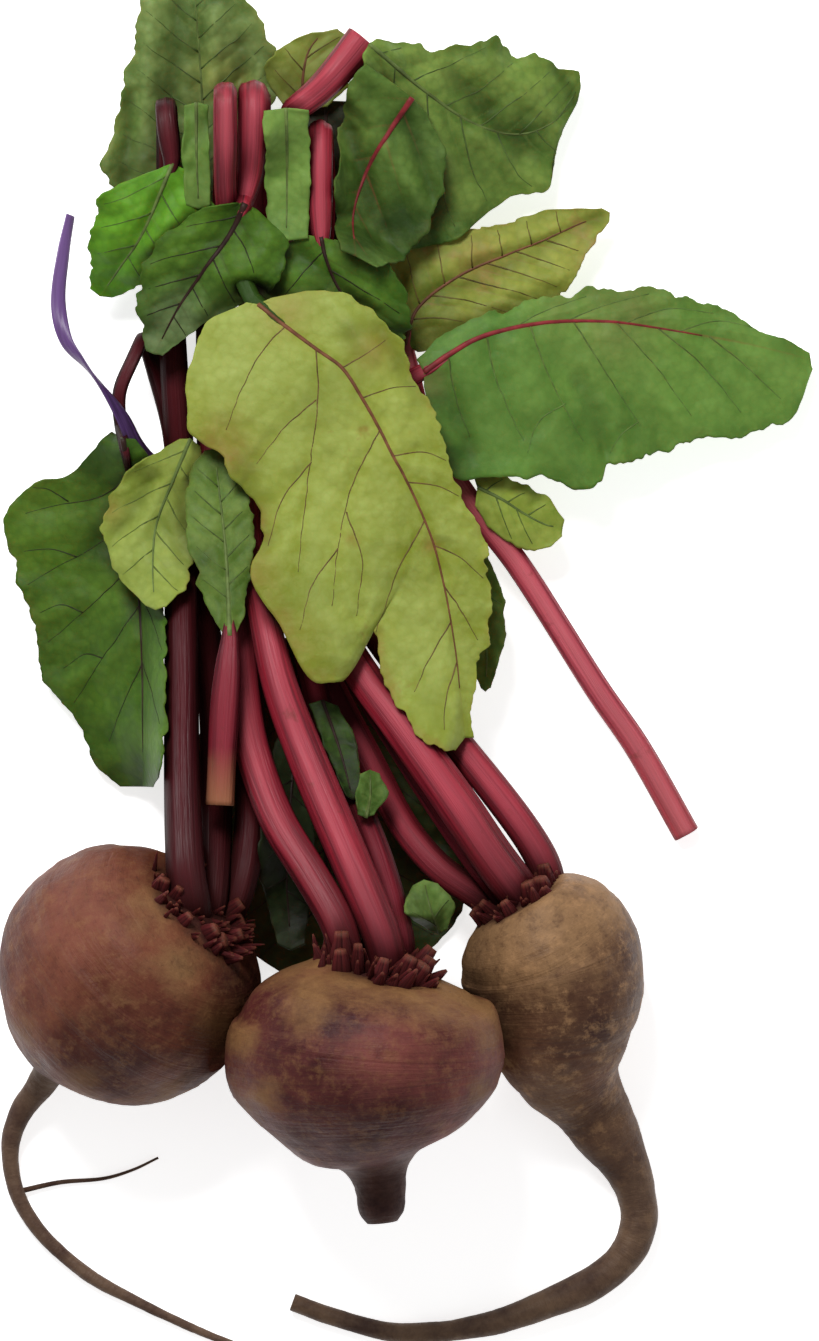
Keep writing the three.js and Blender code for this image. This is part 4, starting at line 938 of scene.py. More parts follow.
def stalk_material(name, dark, mid, light):
    s = Shader(name)
    along = s.place("UV", scale=(9, 1.1, 1), shift=(len(name) * 0.37, 0, 0))
    streaks = s.noise(along, 1.6, 4, 0.6)
    thin = s.noise(s.place("UV", scale=(26, 1.5, 1)), 1.5, 3, 0.6)
    colour = s.lay(dark, mid, streaks, 0.36, 0.6)
    colour = s.lay(colour, light, thin, 0.54, 0.78, 0.0, 0.5)
    # The stalk's upper side is painted lighter and its flanks darker, as painted highlight and painted
    # shade
    colour = s.mix(s.attribute("crest_highlight"), colour, light)
    colour = s.mix(s.attribute("flank_shade"), colour, dark)
    colour = s.lay(colour, (0.1, 0.035, 0.02), s.noise(s.place(), 90, 4, 0.7), 0.62, 0.75, 0.0, 0.55)
    colour = s.lay(colour, (0.045, 0.012, 0.012), s.attribute("foot"), most=0.85)
    colour = s.lay(colour, (0.3, 0.12, 0.06), s.attribute("brown"))
    colour = s.mix(s.attribute("leafy"), colour, GREEN_DARK)
    s.bump(s.math("ADD", streaks, thin), 0.45, 0.0008)
    s.soft(0.06)
    gloss = s.stretch(s.attribute("deep"), 0.05, 0.5, 0.15, 0.0)
    return s.finish(s.painted_sky_shade(colour), s.stretch(thin, 0.3, 0.7, 0.34, 0.5), gloss)


def root_material(name, look):
    s = Shader(name)
    here = s.place()
    deep, tan = look["deep"], look["tan"]
    broad = s.noise(here, 22, 4, 0.6, 0.6)
    blotch = s.noise(here, 75, 5, 0.68)
    fine = s.noise(here, 520, 4, 0.7)
    rings = s.noise(s.place("UV", scale=(1.2, 26, 1)), 2.2, 4, 0.65, 0.3)

    def blotched(kind, most):
        return s.math("ADD", s.attribute(kind), s.stretch(blotch, 0.3, 0.7, -most, most))

    colour = s.lay(deep, look["mid"], broad, 0.38, 0.64)
    # The red spots are partly redder skin and partly a painted highlight
    colour = s.lay(colour, look["red_and_highlight"], blotched("red_and_highlight", 0.25), 0.2, 0.95)
    colour = s.lay(colour, tan, blotched("tan", 0.3), 0.25, 0.9)
    # The dark spots are partly dark skin and partly painted shade on the beets' lower sides and between
    # them
    colour = s.lay(colour, (0.03, 0.009, 0.01), blotched("dark", 0.25), 0.2, 1.0, 0.0, 0.9)
    colour = s.lay(colour, tan, rings, 0.52, 0.74, 0.0, 0.16)
    colour = s.lay(colour, (0.03, 0.012, 0.011), blotch, 0.58, 0.78, 0.0, 0.5)
    colour = s.lay(colour, scaled(tan, 1.15), fine, 0.5, 0.75, 0.0, 0.3)
    colour = s.lay(colour, (0.03, 0.012, 0.01), fine, 0.25, 0.42, 0.4, 0.0)
    mottle = s.noise(here, 170, 5, 0.75)
    colour = s.lay(colour, scaled(tan, 1.5), mottle, 0.52, 0.66, 0.0, look["mottled"])
    colour = s.lay(colour, deep, mottle, 0.34, 0.46, look["mottled"], 0.0)
    scars = s.noise(s.place("UV", scale=(9, 40, 1)), 3.0, 3, 0.7, 0.4)
    colour = s.lay(colour, scaled(tan, 0.7), scars, 0.6, 0.75, 0.0, 0.4)
    colour = s.lay(colour, (0.03, 0.012, 0.01), scars, 0.28, 0.38, 0.35, 0.0)
    tail = s.lay(*look["tail"], blotch, 0.4, 0.65)
    colour = s.lay(colour, tail, s.attribute("down"))
    # The crown is darkened: partly its own dark ragged skin, partly painted shade in its hollow
    colour = s.lay(colour, (0.05, 0.016, 0.013), blotched("crown", 0.3), 0.3, 0.8)
    relief = s.math("ADD", s.math("MULTIPLY", blotch, 0.9), rings)
    s.bump(s.math("ADD", s.math("MULTIPLY", fine, 0.6), relief), 0.5, 0.0009)
    gloss = s.stretch(s.attribute("deep"), 0.0, 0.4, 0.16, 0.0)
    return s.finish(s.painted_sky_shade(colour), s.stretch(blotch, 0.3, 0.7, 0.42, 0.64), gloss)


def tie_material():
    s = Shader("tie")
    along = s.noise(s.place("UV", scale=(5, 3, 1)), 2.5, 3)
    colour = s.lay((0.02, 0.006, 0.035), (0.07, 0.026, 0.12), along, 0.35, 0.65)
    colour = s.lay(colour, (0.24, 0.13, 0.36), s.attribute("pale"), most=0.7)
    s.bump(along, 0.3, 0.0006)
    return s.finish(s.painted_sky_shade(colour), 0.4, 0.35)


# Blades

# Veins drawn on the blades seen best, in columns and rows
DRAWN_VEINS = {
    "leaf_front": [
        [[285, 326], [262, 352], [240, 392], [226, 430]],
        [[316, 349], [318, 396], [312, 450], [303, 520], [298, 572]], [[342, 368], [366, 354], [386, 340]],
        [[362, 398], [392, 388], [416, 386]], [[380, 430], [352, 486], [338, 548], [332, 606]],
        [[393, 456], [424, 452], [450, 462]], [[407, 482], [438, 486], [466, 500]],
        [[425, 521], [398, 570], [380, 620], [372, 640]], [[434, 545], [458, 556], [484, 578]],
        [[451, 622], [430, 658], [414, 692]], [[444, 585], [462, 612], [478, 640]],
        [[316, 400], [284, 428], [256, 464]], [[311, 462], [282, 500], [268, 546]],
        [[346, 512], [362, 560], [356, 616]], [[338, 548], [312, 586], [300, 630]],
        [[457, 662], [446, 700], [444, 730]],
    ],
    "leaf_lower_left": [
        [[128, 476], [96, 496], [52, 504], [22, 512]], [[132, 512], [94, 544], [50, 568], [24, 584]],
        [[136, 560], [100, 594], [66, 624], [44, 642]], [[138, 604], [110, 644], [88, 676], [70, 704]],
        [[140, 664], [122, 702], [106, 742]], [[133, 520], [150, 552], [160, 580]],
        [[137, 590], [152, 622], [162, 650]], [[140, 660], [152, 694], [160, 724]],
        [[66, 500], [46, 488], [30, 486]], [[74, 556], [48, 548], [20, 550]],
        [[80, 612], [58, 604], [36, 612]], [[100, 658], [82, 654], [60, 668]],
    ],
    "leaf_right": [
        [[448, 354], [456, 396], [470, 436]], [[486, 333], [498, 382], [524, 440]],
        [[530, 323], [550, 376], [584, 440]], [[574, 319], [604, 366], [642, 424]],
        [[617, 320], [654, 360], [694, 414]], [[660, 326], [704, 362], [744, 410]],
        [[712, 334], [748, 362], [784, 396]], [[512, 327], [548, 308], [588, 294]],
        [[565, 320], [606, 303], [650, 291]], [[625, 321], [670, 306], [716, 310]],
        [[680, 329], [720, 318], [756, 324]], [[566, 402], [540, 420], [528, 452]],
        [[640, 420], [620, 436], [612, 452]],
    ],
}


def blade_heights(tree, curve):
    """The solid's top on a coarse lattice along and across the blade, smoothed."""
    along, across = 49, 17
    heights = np.full((along, across), np.nan)
    for i in range(along):
        row = curve(i / (along - 1))
        for j in range(across):
            t = (-1 + 2 * j / (across - 1)) * 0.95
            edge = row[3:5] if t < 0 else row[5:7]
            x, y = row[:2] + (edge - row[:2]) * abs(t)
            height = top_height(tree, x, y)
            if height is not None:
                heights[i, j] = height
    for i in range(along):
        known = np.flatnonzero(~np.isnan(heights[i]))
        if len(known) > 0:
            heights[i] = np.interp(np.arange(across), known, heights[i][known])
    known = np.flatnonzero(~np.isnan(heights[:, 0]))
    for j in range(across):
        heights[:, j] = np.interp(np.arange(along), known, heights[known, j])
    return smoothed(heights, 2)


def smoothed(grid, rounds):
    """A grid with each value drawn towards its four neighbours."""
    for _ in range(rounds):
        padded = np.pad(grid, 1, mode="edge")
        grid = (padded[:-2, 1:-1] + padded[2:, 1:-1] + padded[1:-1, :-2] + padded[1:-1, 2:] + 4 * grid) / 8
    return grid


def finer(grid, rows, columns):
    """A grid read at more rows and columns."""
    at_rows = np.linspace(0, grid.shape[0] - 1, rows)
    at_columns = np.linspace(0, grid.shape[1] - 1, columns)
    tall = np.array([np.interp(at_rows, np.arange(grid.shape[0]), column) for column in grid.T]).T
    return np.array([np.interp(at_columns, np.arange(grid.shape[1]), row) for row in tall])


def near_veins(lines):
    """A search tree of points along the drawn veins."""
    paths = [samples([[*place(row), 0] for row in line], 0.6) for line in lines]
    points = [(x, y, 0) for path in paths for x, y, _ in path]
    tree = KDTree(len(points))
    for k, point in enumerate(points):
        tree.insert(point, k)
    tree.balance()
    return tree


def folded(x, y, fold):
    """How far a fold, drawn as a line with a height and a half width, lifts the blade at x and y."""
    x0, y0, x1, y1, height, half = fold
    dx, dy = x1 - x0, y1 - y0
    share = ((x - x0) * dx + (y - y0) * dy) / (dx * dx + dy * dy)
    nearest = min(max(share, 0), 1)
    away = math.hypot(x - x0 - nearest * dx, y - y0 - nearest * dy)
    return height * math.exp(-((away / half) ** 2))


# Layers of a blade's ragged margin and of its crinkles: height, size and shift
LOBES = ((2.4, 8, 0), (1.5, 3.4, 11), (0.7, 1.5, 23))
CRINKLES = ((1.1, 13, 0), (0.7, 5.5, 1), (0.22, 2.2, 3))


class Blade:
    """A blade as a fine lattice of points, on the heights of its solid."""

    def __init__(self, leaf, look, seed):
        self.name = leaf["name"]
        self.seed = seed
        rows = [[*place([mx, my]), height, *place([lx, ly]), *place([rx, ry])]
                for lx, ly, mx, my, height, rx, ry in leaf["blade"]]
        curve = curve_through(rows)
        self.length = curve.length
        self.widest = max(math.dist(curve(u)[3:5], curve(u)[5:7]) for u in np.linspace(0, 1, 21))
        self.rows = max(24, min(220, int(self.length / BLADE_CELL)))
        self.columns = max(16, min(130, int(self.widest / BLADE_CELL)))
        self.columns += self.columns % 2
        shape = (self.rows + 1, self.columns + 1)
        heights = smoothed(finer(blade_heights(tree_of(self.name), curve), *shape), 3)
        self.points = np.zeros((*shape, 3))
        self.bulge, self.vein, self.rim, self.fold = np.zeros((4, *shape))
        self.gap = look["gap"]
        self.drawn = self.name in DRAWN_VEINS
        self.near_vein = near_veins(DRAWN_VEINS[self.name]) if self.drawn else None
        self.folds = [[*place([x0, y0]), *place([x1, y1]), height, half]
                      for x0, y0, x1, y1, height, half in FOLDS.get(self.name, [])]
        for i in range(self.rows + 1):
            u = i / self.rows
            row = curve(u)
            body = math.sin(math.pi * min(max(u, 0.03), 0.97)) ** 0.5
            for j in range(self.columns + 1):
                t = -1 + 2 * j / self.columns
                edge = row[3:5] if t < 0 else row[5:7]
                width = max(math.dist(edge, row[:2]), 0.5)
                self.set_point(i, j, u, t, row, edge, width, body, heights[i, j])

    def set_point(self, i, j, u, t, row, edge, width, body, height):
        """The point at u along and t across, lifted by folds, bulges between veins and a curled rim."""
        seed = self.seed
        run = u * self.length
        side = 0 if t < 0 else 40
        lobes = sum(height * field(run, side + shift, seed, size) for height, size, shift in LOBES)
        lobes *= min(1, self.widest / FULL_LOBES_WIDTH)
        reach = abs(t) * (1 + body * abs(t) ** 3 * lobes / width)
        x, y = row[:2] + (edge - row[:2]) * reach
        away = abs(t) * width
        wander = 0.16 * field(x, y, seed, 14)
        phase = (run - SIDE_VEIN_SLANT * away - (0 if t < 0 else 0.45 * self.gap)) / self.gap + wander
        near = phase - math.floor(phase)
        to_vein = min(near, 1 - near) * self.gap * 0.75
        bulge = math.sin(math.pi * near) ** 0.7 * min(1, away / 4) * (1 - abs(t) ** 4)
        valley = math.exp(-((away / 1.6) ** 2))
        crinkle = layered(CRINKLES, x, y, seed, 0)
        curl = abs(t) ** 4 * body * (0.7 + field(run, side, seed + 5, 8) * 2.2)
        if self.drawn:
            to_vein = self.near_vein.find((x, y, 0))[2]
            bulge = min(1, away / 4, to_vein / 3.6) * (1 - abs(t) ** 4)
        z = height + 0.7 * bulge * body - 0.4 * valley * body + crinkle * body + curl
        lift = sum(folded(x, y, fold) for fold in self.folds)
        # The fold's lift is kept to paint light on its rise and shade in its hollow
        self.fold[i, j] = lift / 1.4
        z += lift
        self.points[i, j] = (x, y, max(z, 0.6))
        self.bulge[i, j] = bulge
        fade = 0.5 * max(0.0, 1 - to_vein / 1.0) * (1 - 0.6 * abs(t))
        self.vein[i, j] = max(fade, 0.75 * math.exp(-((away / 0.8) ** 2)) * (1 - 0.6 * u))
        self.rim[i, j] = abs(t)

    def build(self, material):
        count = self.columns + 1
        faces = []
        for i in range(self.rows):
            for j in range(self.columns):
                a = i * count + j
                faces.append((a, a + count, a + count + 1, a + 1))
        uv = np.stack(np.meshgrid(np.linspace(0, 1, count), np.linspace(0, 1, self.rows + 1)), axis=-1)
        flat = self.points.reshape(-1, 3)
        tags = {"bulge": self.bulge.ravel(), "vein": self.vein.ravel(), "rim": self.rim.ravel()}
        fold = self.fold.ravel()
        # A fold's rise is painted light and its hollow painted shade, on top of the spots of light and
        # shade
        tags["painted_light"] = np.maximum(spotted(self.name, "painted_light", flat), 0.6 * np.clip(fold, 0, 1))
        tags["shade"] = np.maximum(spotted(self.name, "shade", flat), 0.7 * np.clip(-fold, 0, 1))
        tags["odd"] = spotted(self.name, "odd", flat)
        obj = make_object(self.name, flat, faces, uv.reshape(-1, 2), tags, material)
        if obj.data.polygons[len(faces) // 2].normal.z < 0:
            obj.data.flip_normals()
        thicken(obj, BLADE_THICKNESS, -1)
        return obj

    def surface(self, u, t):
        """A point on the lattice at a share along and a share across from -1 to 1."""
        i = min(max(u, 0), 1) * self.rows
        j = (min(max(t, -1), 1) + 1) / 2 * self.columns
        i0, j0 = min(int(i), self.rows - 1), min(int(j), self.columns - 1)
        di, dj = i - i0, j - j0
        p = self.points
        return ((p[i0, j0] * (1 - di) + p[i0 + 1, j0] * di) * (1 - dj)
                + (p[i0, j0 + 1] * (1 - di) + p[i0 + 1, j0 + 1] * di) * dj)

    def midrib(self, base, reach):
        """Rows of a rib that narrows from its base, half sunk in the blade."""
        rows = []
        count = int(self.length / PATH_STEP)
        for i in range(count + 1):
            u = reach * i / count
            half = base * (1 - i / count) ** 0.9 + 0.16
            point = self.surface(u, 0)
            rows.append([point[0], point[1], point[2] + 0.1 - 0.25 * half, half])
        return rows

    def side_veins(self):
        """Veins that leave the midrib and run towards the tip and the edge."""
        veins = []
        for side in (-1, 1):
            k = 0
            while True:
                start = (k + 0.35 + (0 if side < 0 else 0.45)) * self.gap
                k += 1
                if start > 0.9 * self.length:
                    break
                rows = []
                away = 0.0
                while True:
                    u = (start + SIDE_VEIN_SLANT * away) / self.length
                    if u >= 0.98:
                        break
                    middle, edge = self.surface(u, 0), self.surface(u, side)
                    width = math.dist(middle[:2], edge[:2])
                    if away > 0.9 * width or width < 2:
                        break
                    share = away / width
                    point = self.surface(u, side * share)
                    rows.append([*point, 0.26 * (1 - 0.75 * share)])
                    away += 1.4
                if len(rows) > 4:
                    veins.append(rows)
        return veins

    def drawn_veins(self, obj):
        """The drawn veins, laid on the blade."""
        points = [Vector(tuple(p)) for p in self.points.reshape(-1, 3)]
        tree = BVHTree.FromPolygons(points, [tuple(f.vertices) for f in obj.data.polygons])
        veins = []
        for line in DRAWN_VEINS[self.name]:
            path = samples([[*place(row), 0] for row in line], 1.2)
            rows = []
            for k, (x, y, _) in enumerate(path):
                x += 0.35 * field(x, y, 1, 3)
                hit = tree.ray_cast(Vector((x, y, 300)), Vector((0, 0, -1)))
                if hit[0] is None:
                    break
                rows.append([x, y, hit[0].z, 0.22 * (1 - 0.6 * k / len(path))])
            if len(rows) > 3:
                veins.append(rows)
        return veins


def build_tubes(name, lines, sides, material, flatness=0.7, tags=None):
    """Tubes along several lines as one object. tags holds one value each for all points."""
    points, faces, uv, _ = joined([(*tube(rows, sides, flatness), {}) for rows in lines])
    values = {tag: np.full(len(points), value) for tag, value in (tags or {}).items()}
    return make_object(name, points, faces, uv, values, material)


# Stalks


def stalk_rows(leaf, look, blade):
    """The stalk's path from the crown to its blade; a fold's height is read from the solid under it."""
    rows = [place(row) for row in leaf["stalk"]]
    full = samples(rows, PATH_STEP)
    if "fold" in leaf:
        bend = [rows[-1], *[place(row) for row in leaf["fold"]]]
        path = samples(bend, PATH_STEP)
        reads = curve_through(bend)
        starts = reads.at[1 + look["over"]] / reads.at[-1]
        tree = tree_of(leaf["name"])
        for k, row in enumerate(path):
            if k / (len(path) - 1) >= starts:
                height = top_height(tree, row[0], row[1])
                if height is not None:
                    row[2] = height - row[3] * STALK_FLATNESS
        path[:, 2] = evened(path[:, 2], 6)
        full = np.vstack([full, path[1:]])
        full[:, :3] = evened(full[:, :3], 10)
    if blade is not None and not look.get("apart"):
        half = full[-1][3]
        start_x, start_y, start_z = blade.surface(0.03, 0)
        onward_x, onward_y, onward_z = blade.surface(0.1, 0)
        tail = samples([full[-1], [start_x, start_y, start_z - 0.6 * half, half * 0.8],
                        [onward_x, onward_y, onward_z - 0.5 * half, half * 0.5]], PATH_STEP)
        full = np.vstack([full, tail[1:]])
    return full


def ribbed(seed):
    """The shape of a stalk's section: lengthwise ribs and slow swellings."""
    def shape(angle, share):
        ribs = 0.05 * math.cos(4 * angle + seed) + 0.035 * math.cos(7 * angle - 2 * seed)
        ripple = 0.02 * math.cos(13 * angle + seed + 4 * share)
        return 1 + ribs + ripple + 0.03 * math.sin(9 * share + seed)
    return shape


def build_stalk(name, leaf, look, blade, material, seed, brown_end=0.0):
    """A stalk from its crown, or one with a brown cut end."""
    rows = stalk_rows(leaf, look, blade)
    points, faces, uv = tube(rows, STALK_SIDES, shape=ribbed(seed))
    outward = points - np.repeat(rows[:, :3], STALK_SIDES, axis=0)
    upward = outward[:, 2] / np.maximum(np.linalg.norm(outward, axis=1), 1e-6)
    points[:, 2] = np.maximum(points[:, 2], 0.05)
    share = np.repeat(np.linspace(0, 1, len(rows)), STALK_SIDES)
    rooted = 0.0 if brown_end else 1.0
    hidden = look.get("hidden_end", 0)
    leafy = np.clip((share - 1 + hidden) / 0.02, 0, 1) if hidden else np.zeros(len(share))
    tags = {
        "foot": rooted * np.clip(1 - share / 0.14, 0, 1),
        "brown": brown_end * np.clip(1 - share / 0.3, 0, 1),
        "leafy": leafy,
        # The upward side gets a painted highlight, the sideways and lower sides painted shade
        "crest_highlight": 0.62 * np.clip((upward - 0.6) / 0.4, 0, 1) * (1 - leafy),
        "flank_shade": 0.6 * np.clip((0.4 - upward) / 0.6, 0, 1) * (1 - leafy),
    }
    return make_object(name, points, faces, uv, tags, material)


# Roots


def crown_axes(beet):
    """The crown's centre, its axis out of the root, and two directions across it."""
    rings = [place(row) for row in beet["rings"]]
    centre = Vector(place(beet["crown"])[:3])
    axis = (centre - Vector(rings[4][:3])).normalized()
    across = axis.cross(Vector((0, 0, 1))).normalized()
    return centre, axis, across, across.cross(axis)


# Layers of a root's lumps: height, size and shift
LUMPS = ((0.75, 17, 0), (0.35, 6, 0), (0.12, 2.2, 0))


def build_root(beet, look, material, seed):
    """A root with lumps and creases round it; tan skin, red skin partly painted as highlight, and dark skin
    partly painted as shade.
    """
    rows = samples([place(row) for row in beet["rings"]], ROOT_STEP)
    points, faces, uv = tube(rows, ROOT_SIDES, flatness=1)
    centres = np.repeat(rows[:, :3], ROOT_SIDES, axis=0)
    radius = np.repeat(rows[:, 3], ROOT_SIDES)
    widest = rows[:, 3].max()
    run = np.concatenate([[0], np.cumsum(np.linalg.norm(np.diff(rows[:, :3], axis=0), axis=1))])
    run = np.repeat(run, ROOT_SIDES)
    outward = points - centres
    outward /= np.maximum(np.linalg.norm(outward, axis=1), 1e-6)[:, None]
    share = np.minimum(1, radius / 12)
    moved = points.copy()
    for k, (x, y, z) in enumerate(points):
        lumps = layered(LUMPS, x, y, z, seed)
        crease = -0.28 * max(0.0, field(run[k] * 3.2, x * 0.12, z * 0.12, 2.4, seed) - 0.12)
        moved[k] += outward[k] * ((lumps + crease) * (0.25 + 0.75 * share[k]))
    moved[:, 2] = np.maximum(moved[:, 2], 0.02)
    centre, axis, *_ = crown_axes(beet)
    offset = points - np.array(centre)
    along = offset @ np.array(axis)
    off_axis = np.linalg.norm(offset - along[:, None] * np.array(axis), axis=1)
    crown = np.clip(1.5 - off_axis / beet["crown"][3], 0, 1) * np.clip(1 + along / 14, 0, 1)
    down = np.clip((0.5 - radius / widest) / 0.35, 0, 1) * (along < -widest * 0.8)
    tan = np.clip((along + look["tan_from"]) / 13, 0, 1)
    tan += look["tan_side"] * np.clip(outward[:, 2], 0, 1) * np.clip(off_axis / 30, 0, 1)
    rim = np.clip((np.abs(outward[:, 0]) - 0.8) / 0.2, 0, 1) * np.clip(outward[:, 2] + 0.7, 0, 1)
    tan = np.clip(tan, 0, 1) * 0.8 + rim * 0.4 * share
    red_and_highlight, dark, tan_spots = [spotted(beet["name"], kind, moved) for kind in ("red_and_highlight", "dark", "tan")]
    tan = np.clip(np.maximum(tan, tan_spots), 0, 1)
    tags = {"crown": crown, "down": down, "tan": tan, "red_and_highlight": red_and_highlight, "dark": dark}
    return make_object(beet["name"], moved, faces, uv, tags, material)


def build_stubs(beet, material, seed):
    """The cut stubs round the crown, and the scales between them."""
    centre, axis, across, up = crown_axes(beet)
    chance = random.Random(seed)
    parts = []

    def stub(angle, out, length, half, lean, blunt, sides=12):
        direction = across * math.cos(angle) + up * math.sin(angle)
        heading = (axis + direction * lean).normalized()
        root = centre + direction * out
        rows = []
        for step in range(STUB_STEPS + 1):
            share = step / STUB_STEPS
            at = (length + 5) * share - 5
            point = root + heading * at + direction * 0.006 * at * at
            rows.append([*point, half * (1.2 - (1.2 - blunt) * share ** 1.6)])
        points, faces, uv = tube(rows, sides, flatness=0.5, shape=ribbed(angle))
        high = np.repeat(np.linspace(0, 1, STUB_STEPS + 1), sides)
        cut = np.clip((high - 0.86) / 0.14, 0, 1)
        parts.append((points, faces, uv, {"foot": np.clip(1.1 - 1.1 * high, 0, 1), "brown": 0.3 * cut}))

    reach = beet["crown"][3]
    for k in range(beet["stubs"]):
        angle = 2 * math.pi * (k + 0.3 * math.sin(k * 2.1)) / beet["stubs"]
        out = reach * (0.82 + 0.14 * math.sin(k * 2.9))
        length = 0.7 * beet["stub_length"] * (0.8 + 0.25 * math.sin(k * 3.3))
        half = 2.6 + 0.7 * math.sin(k * 1.3)
        stub(angle, out, length, half, lean=0.28 + 0.16 * math.sin(k * 1.7), blunt=0.6)
    for _ in range(SCALES_PER_CROWN):
        angle = chance.uniform(0, 2 * math.pi)
        half = chance.uniform(0.6, 2.2)
        out = reach * chance.uniform(0.3, 1.2)
        length = beet["stub_length"] * chance.uniform(0.1, 0.55) + 1.2 - 0.4 * half
        stub(angle, out, length, half, lean=chance.uniform(0.1, 1.1), blunt=0.2, sides=8)
    return make_object(beet["name"] + "_stubs", *joined(parts), material)


def build_rootlet(beet, material):
    """The thin side root that lies on the surface."""
    rows = samples([place(row) for row in beet["rootlet"]], PATH_STEP)
    rows[:, 3] = np.linspace(0.8, 0.35, len(rows))
    rows[:, 2] += 0.25
    tags = {"down": 1.0, "tan": 0.0, "crown": 0.0, "red_and_highlight": 0.0, "dark": 0.0}
    return build_tubes(beet["name"] + "_rootlet", [rows], 6, material, 1, tags)


# The tie


def ring_path():
    """The ring's section from the side: a rectangle with round corners, in x, 0 and z, closed."""
    inset, corner = 0.45, 3.6
    left, right = [place([column, TIE_ROW])[0] for column in TIE_COLUMNS]
    left, right = left + inset + corner, right - inset - corner
    low, high = inset + corner, TIE_TOP - inset - corner
    loop = []
    for x, z, start in ((right, low, -90), (right, high, 0), (left, high, 90), (left, low, 180)):
        for step in range(9):
            angle = math.radians(start + 90 * step / 8)
            loop.append([x + corner * math.cos(angle), 0, z + corner * math.sin(angle)])
    path = []
    for a, b in zip(loop, loop[1:] + loop[:1]):
        pieces = max(1, int(math.dist(a, b)))
        path.extend([[a[k] + (b[k] - a[k]) * s / pieces for k in range(3)] for s in range(pieces)])
    return path, inset


def build_ring(material):
    """The strip round the stalks."""
    path, inset = ring_path()
    middle = place([0, TIE_ROW])[1]
    across = 10
    points, uv, faces = [], [], []
    for i, (x, _, z) in enumerate(path):
        for j in range(across + 1):
            v = -1 + 2 * j / across
            fold = 0.14 * field(x, z, j, 2.5)
            half = TIE_WIDTH / 2 * (0.96 + 0.03 * math.sin(i * 0.3))
            points.append([x * (1 - 0.012 * abs(fold)), middle + v * half, max(z + fold * 0.3, inset)])
            uv.append((j / across, i / 100))
    for i in range(len(path)):
        for j in range(across):
            a = i * (across + 1) + j
            b = ((i + 1) % len(path)) * (across + 1) + j
            faces.append((a, b, b + 1, a + 1))
    ring = make_object("tie", points, faces, uv, {"pale": np.full(len(points), 0.25)}, material)
    thicken(ring, TIE_THICKNESS, 0)
    return ring


def build_free_end(material):
    """The twist beside the ring and the long free end."""
    parts = []
    for table, flatness in ((TIE_TAIL, 0.26), (TIE_KNOT, 0.45)):
        rows = samples([place(row) for row in table], 0.8)
        pale = np.repeat(np.clip(np.linspace(-0.5, 1.1, len(rows)), 0, 1), TIE_SIDES)
        parts.append((*tube(rows, TIE_SIDES, flatness, ribbed(1.0), turn=rows[:, 4]), {"pale": pale}))
    return make_object("tie_free_end", *joined(parts), material)


# Putting it together


finished = []


def add(obj, slot, *nodes):
    finished.append(obj)
    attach(obj, "root")
    if nodes:
        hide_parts(*nodes)
    return obj


# Dark, middle and light tint of each kind of stalk, by the name of its material. stalk_deep and stalk_shade
# are darker copies of the stalk's tints, painted shade for stalks that lie in the bunch's shadow.
STALK_TINTS = {
    "stalk": ((0.07, 0.005, 0.01), (0.25, 0.013, 0.026), (0.52, 0.085, 0.115)),
    "stalk_bright": ((0.07, 0.005, 0.01), (0.25, 0.014, 0.028), (0.48, 0.09, 0.115)),
    "stalk_deep": ((0.03, 0.003, 0.006), (0.12, 0.007, 0.014), (0.34, 0.04, 0.06)),
    "stalk_pink": ((0.2, 0.012, 0.025), (0.42, 0.04, 0.065), (0.66, 0.17, 0.2)),
    "stubs": ((0.03, 0.005, 0.006), (0.13, 0.018, 0.02), (0.3, 0.07, 0.06)),
    "stalk_shade": ((0.01, 0.0015, 0.002), (0.035, 0.003, 0.005), (0.11, 0.012, 0.018)),
}
STALK_KINDS = {
    "leaf_lower_left": "stalk_shade", "leaf_top": "stalk_shade", "leaf_bright_left": "stalk_shade",
    "leaf_yellow": "stalk_pink", "leaf_cut_small": "stalk_deep", "stalk_middle": "stalk_deep",
    "stalk_right_inner": "stalk_deep", "leaf_front": "stalk_bright",
}
BROWN_ENDS = {"leaf_cut_small": 1.0, "leaf_yellow": 0.12}
stalk_materials = {name: stalk_material(name, *tints) for name, tints in STALK_TINTS.items()}
vein_materials = {}


def stalk_finish(name):
    return stalk_materials[STALK_KINDS.get(name, "stalk")]


def vein_material(colour):
    """The material of all veins of one colour."""
    if colour not in vein_materials:
        s = Shader(f"vein_{len(vein_materials)}")
        grained = s.lay(scaled(colour, 0.55), colour, s.noise(s.place(), 300, 3), 0.35, 0.65)
        vein_materials[colour] = s.finish(s.painted_sky_shade(grained), 0.55, 0.2)
    return vein_materials[colour]


for number, leaf in enumerate(LEAVES):
    name = leaf["name"]
    look = LEAF_LOOKS[name]
    blade = Blade(leaf, look, number * 17)
    obj = add(blade.build(leaf_material(name, look)), "leaf", name)
    midrib = blade.midrib(look.get("rib_half", 0.4), look.get("rib", 0.9))
    add(build_tubes(name + "_midrib", [midrib], 8, vein_material(look["vein"])), "leaf")
    if not look.get("plain"):
        veins = blade.drawn_veins(obj) if blade.drawn else blade.side_veins()
        side = look.get("side", tuple(0.5 * a + 0.5 * b for a, b in zip(look["vein"], look["tints"][0])))
        if veins:
            add(build_tubes(name + "_veins", veins, 6, vein_material(side)), "leaf")
    if "stalk" in leaf:
        brown_end = BROWN_ENDS.get(name, 0.0)
        add(build_stalk(name + "_stalk", leaf, look, blade, stalk_finish(name), number, brown_end), "stalk")
for number, bare in enumerate(BARE_STALKS):
    name = bare["name"]
    add(build_stalk(name, bare, {}, None, stalk_finish(name), 31 + number), "stalk", name)

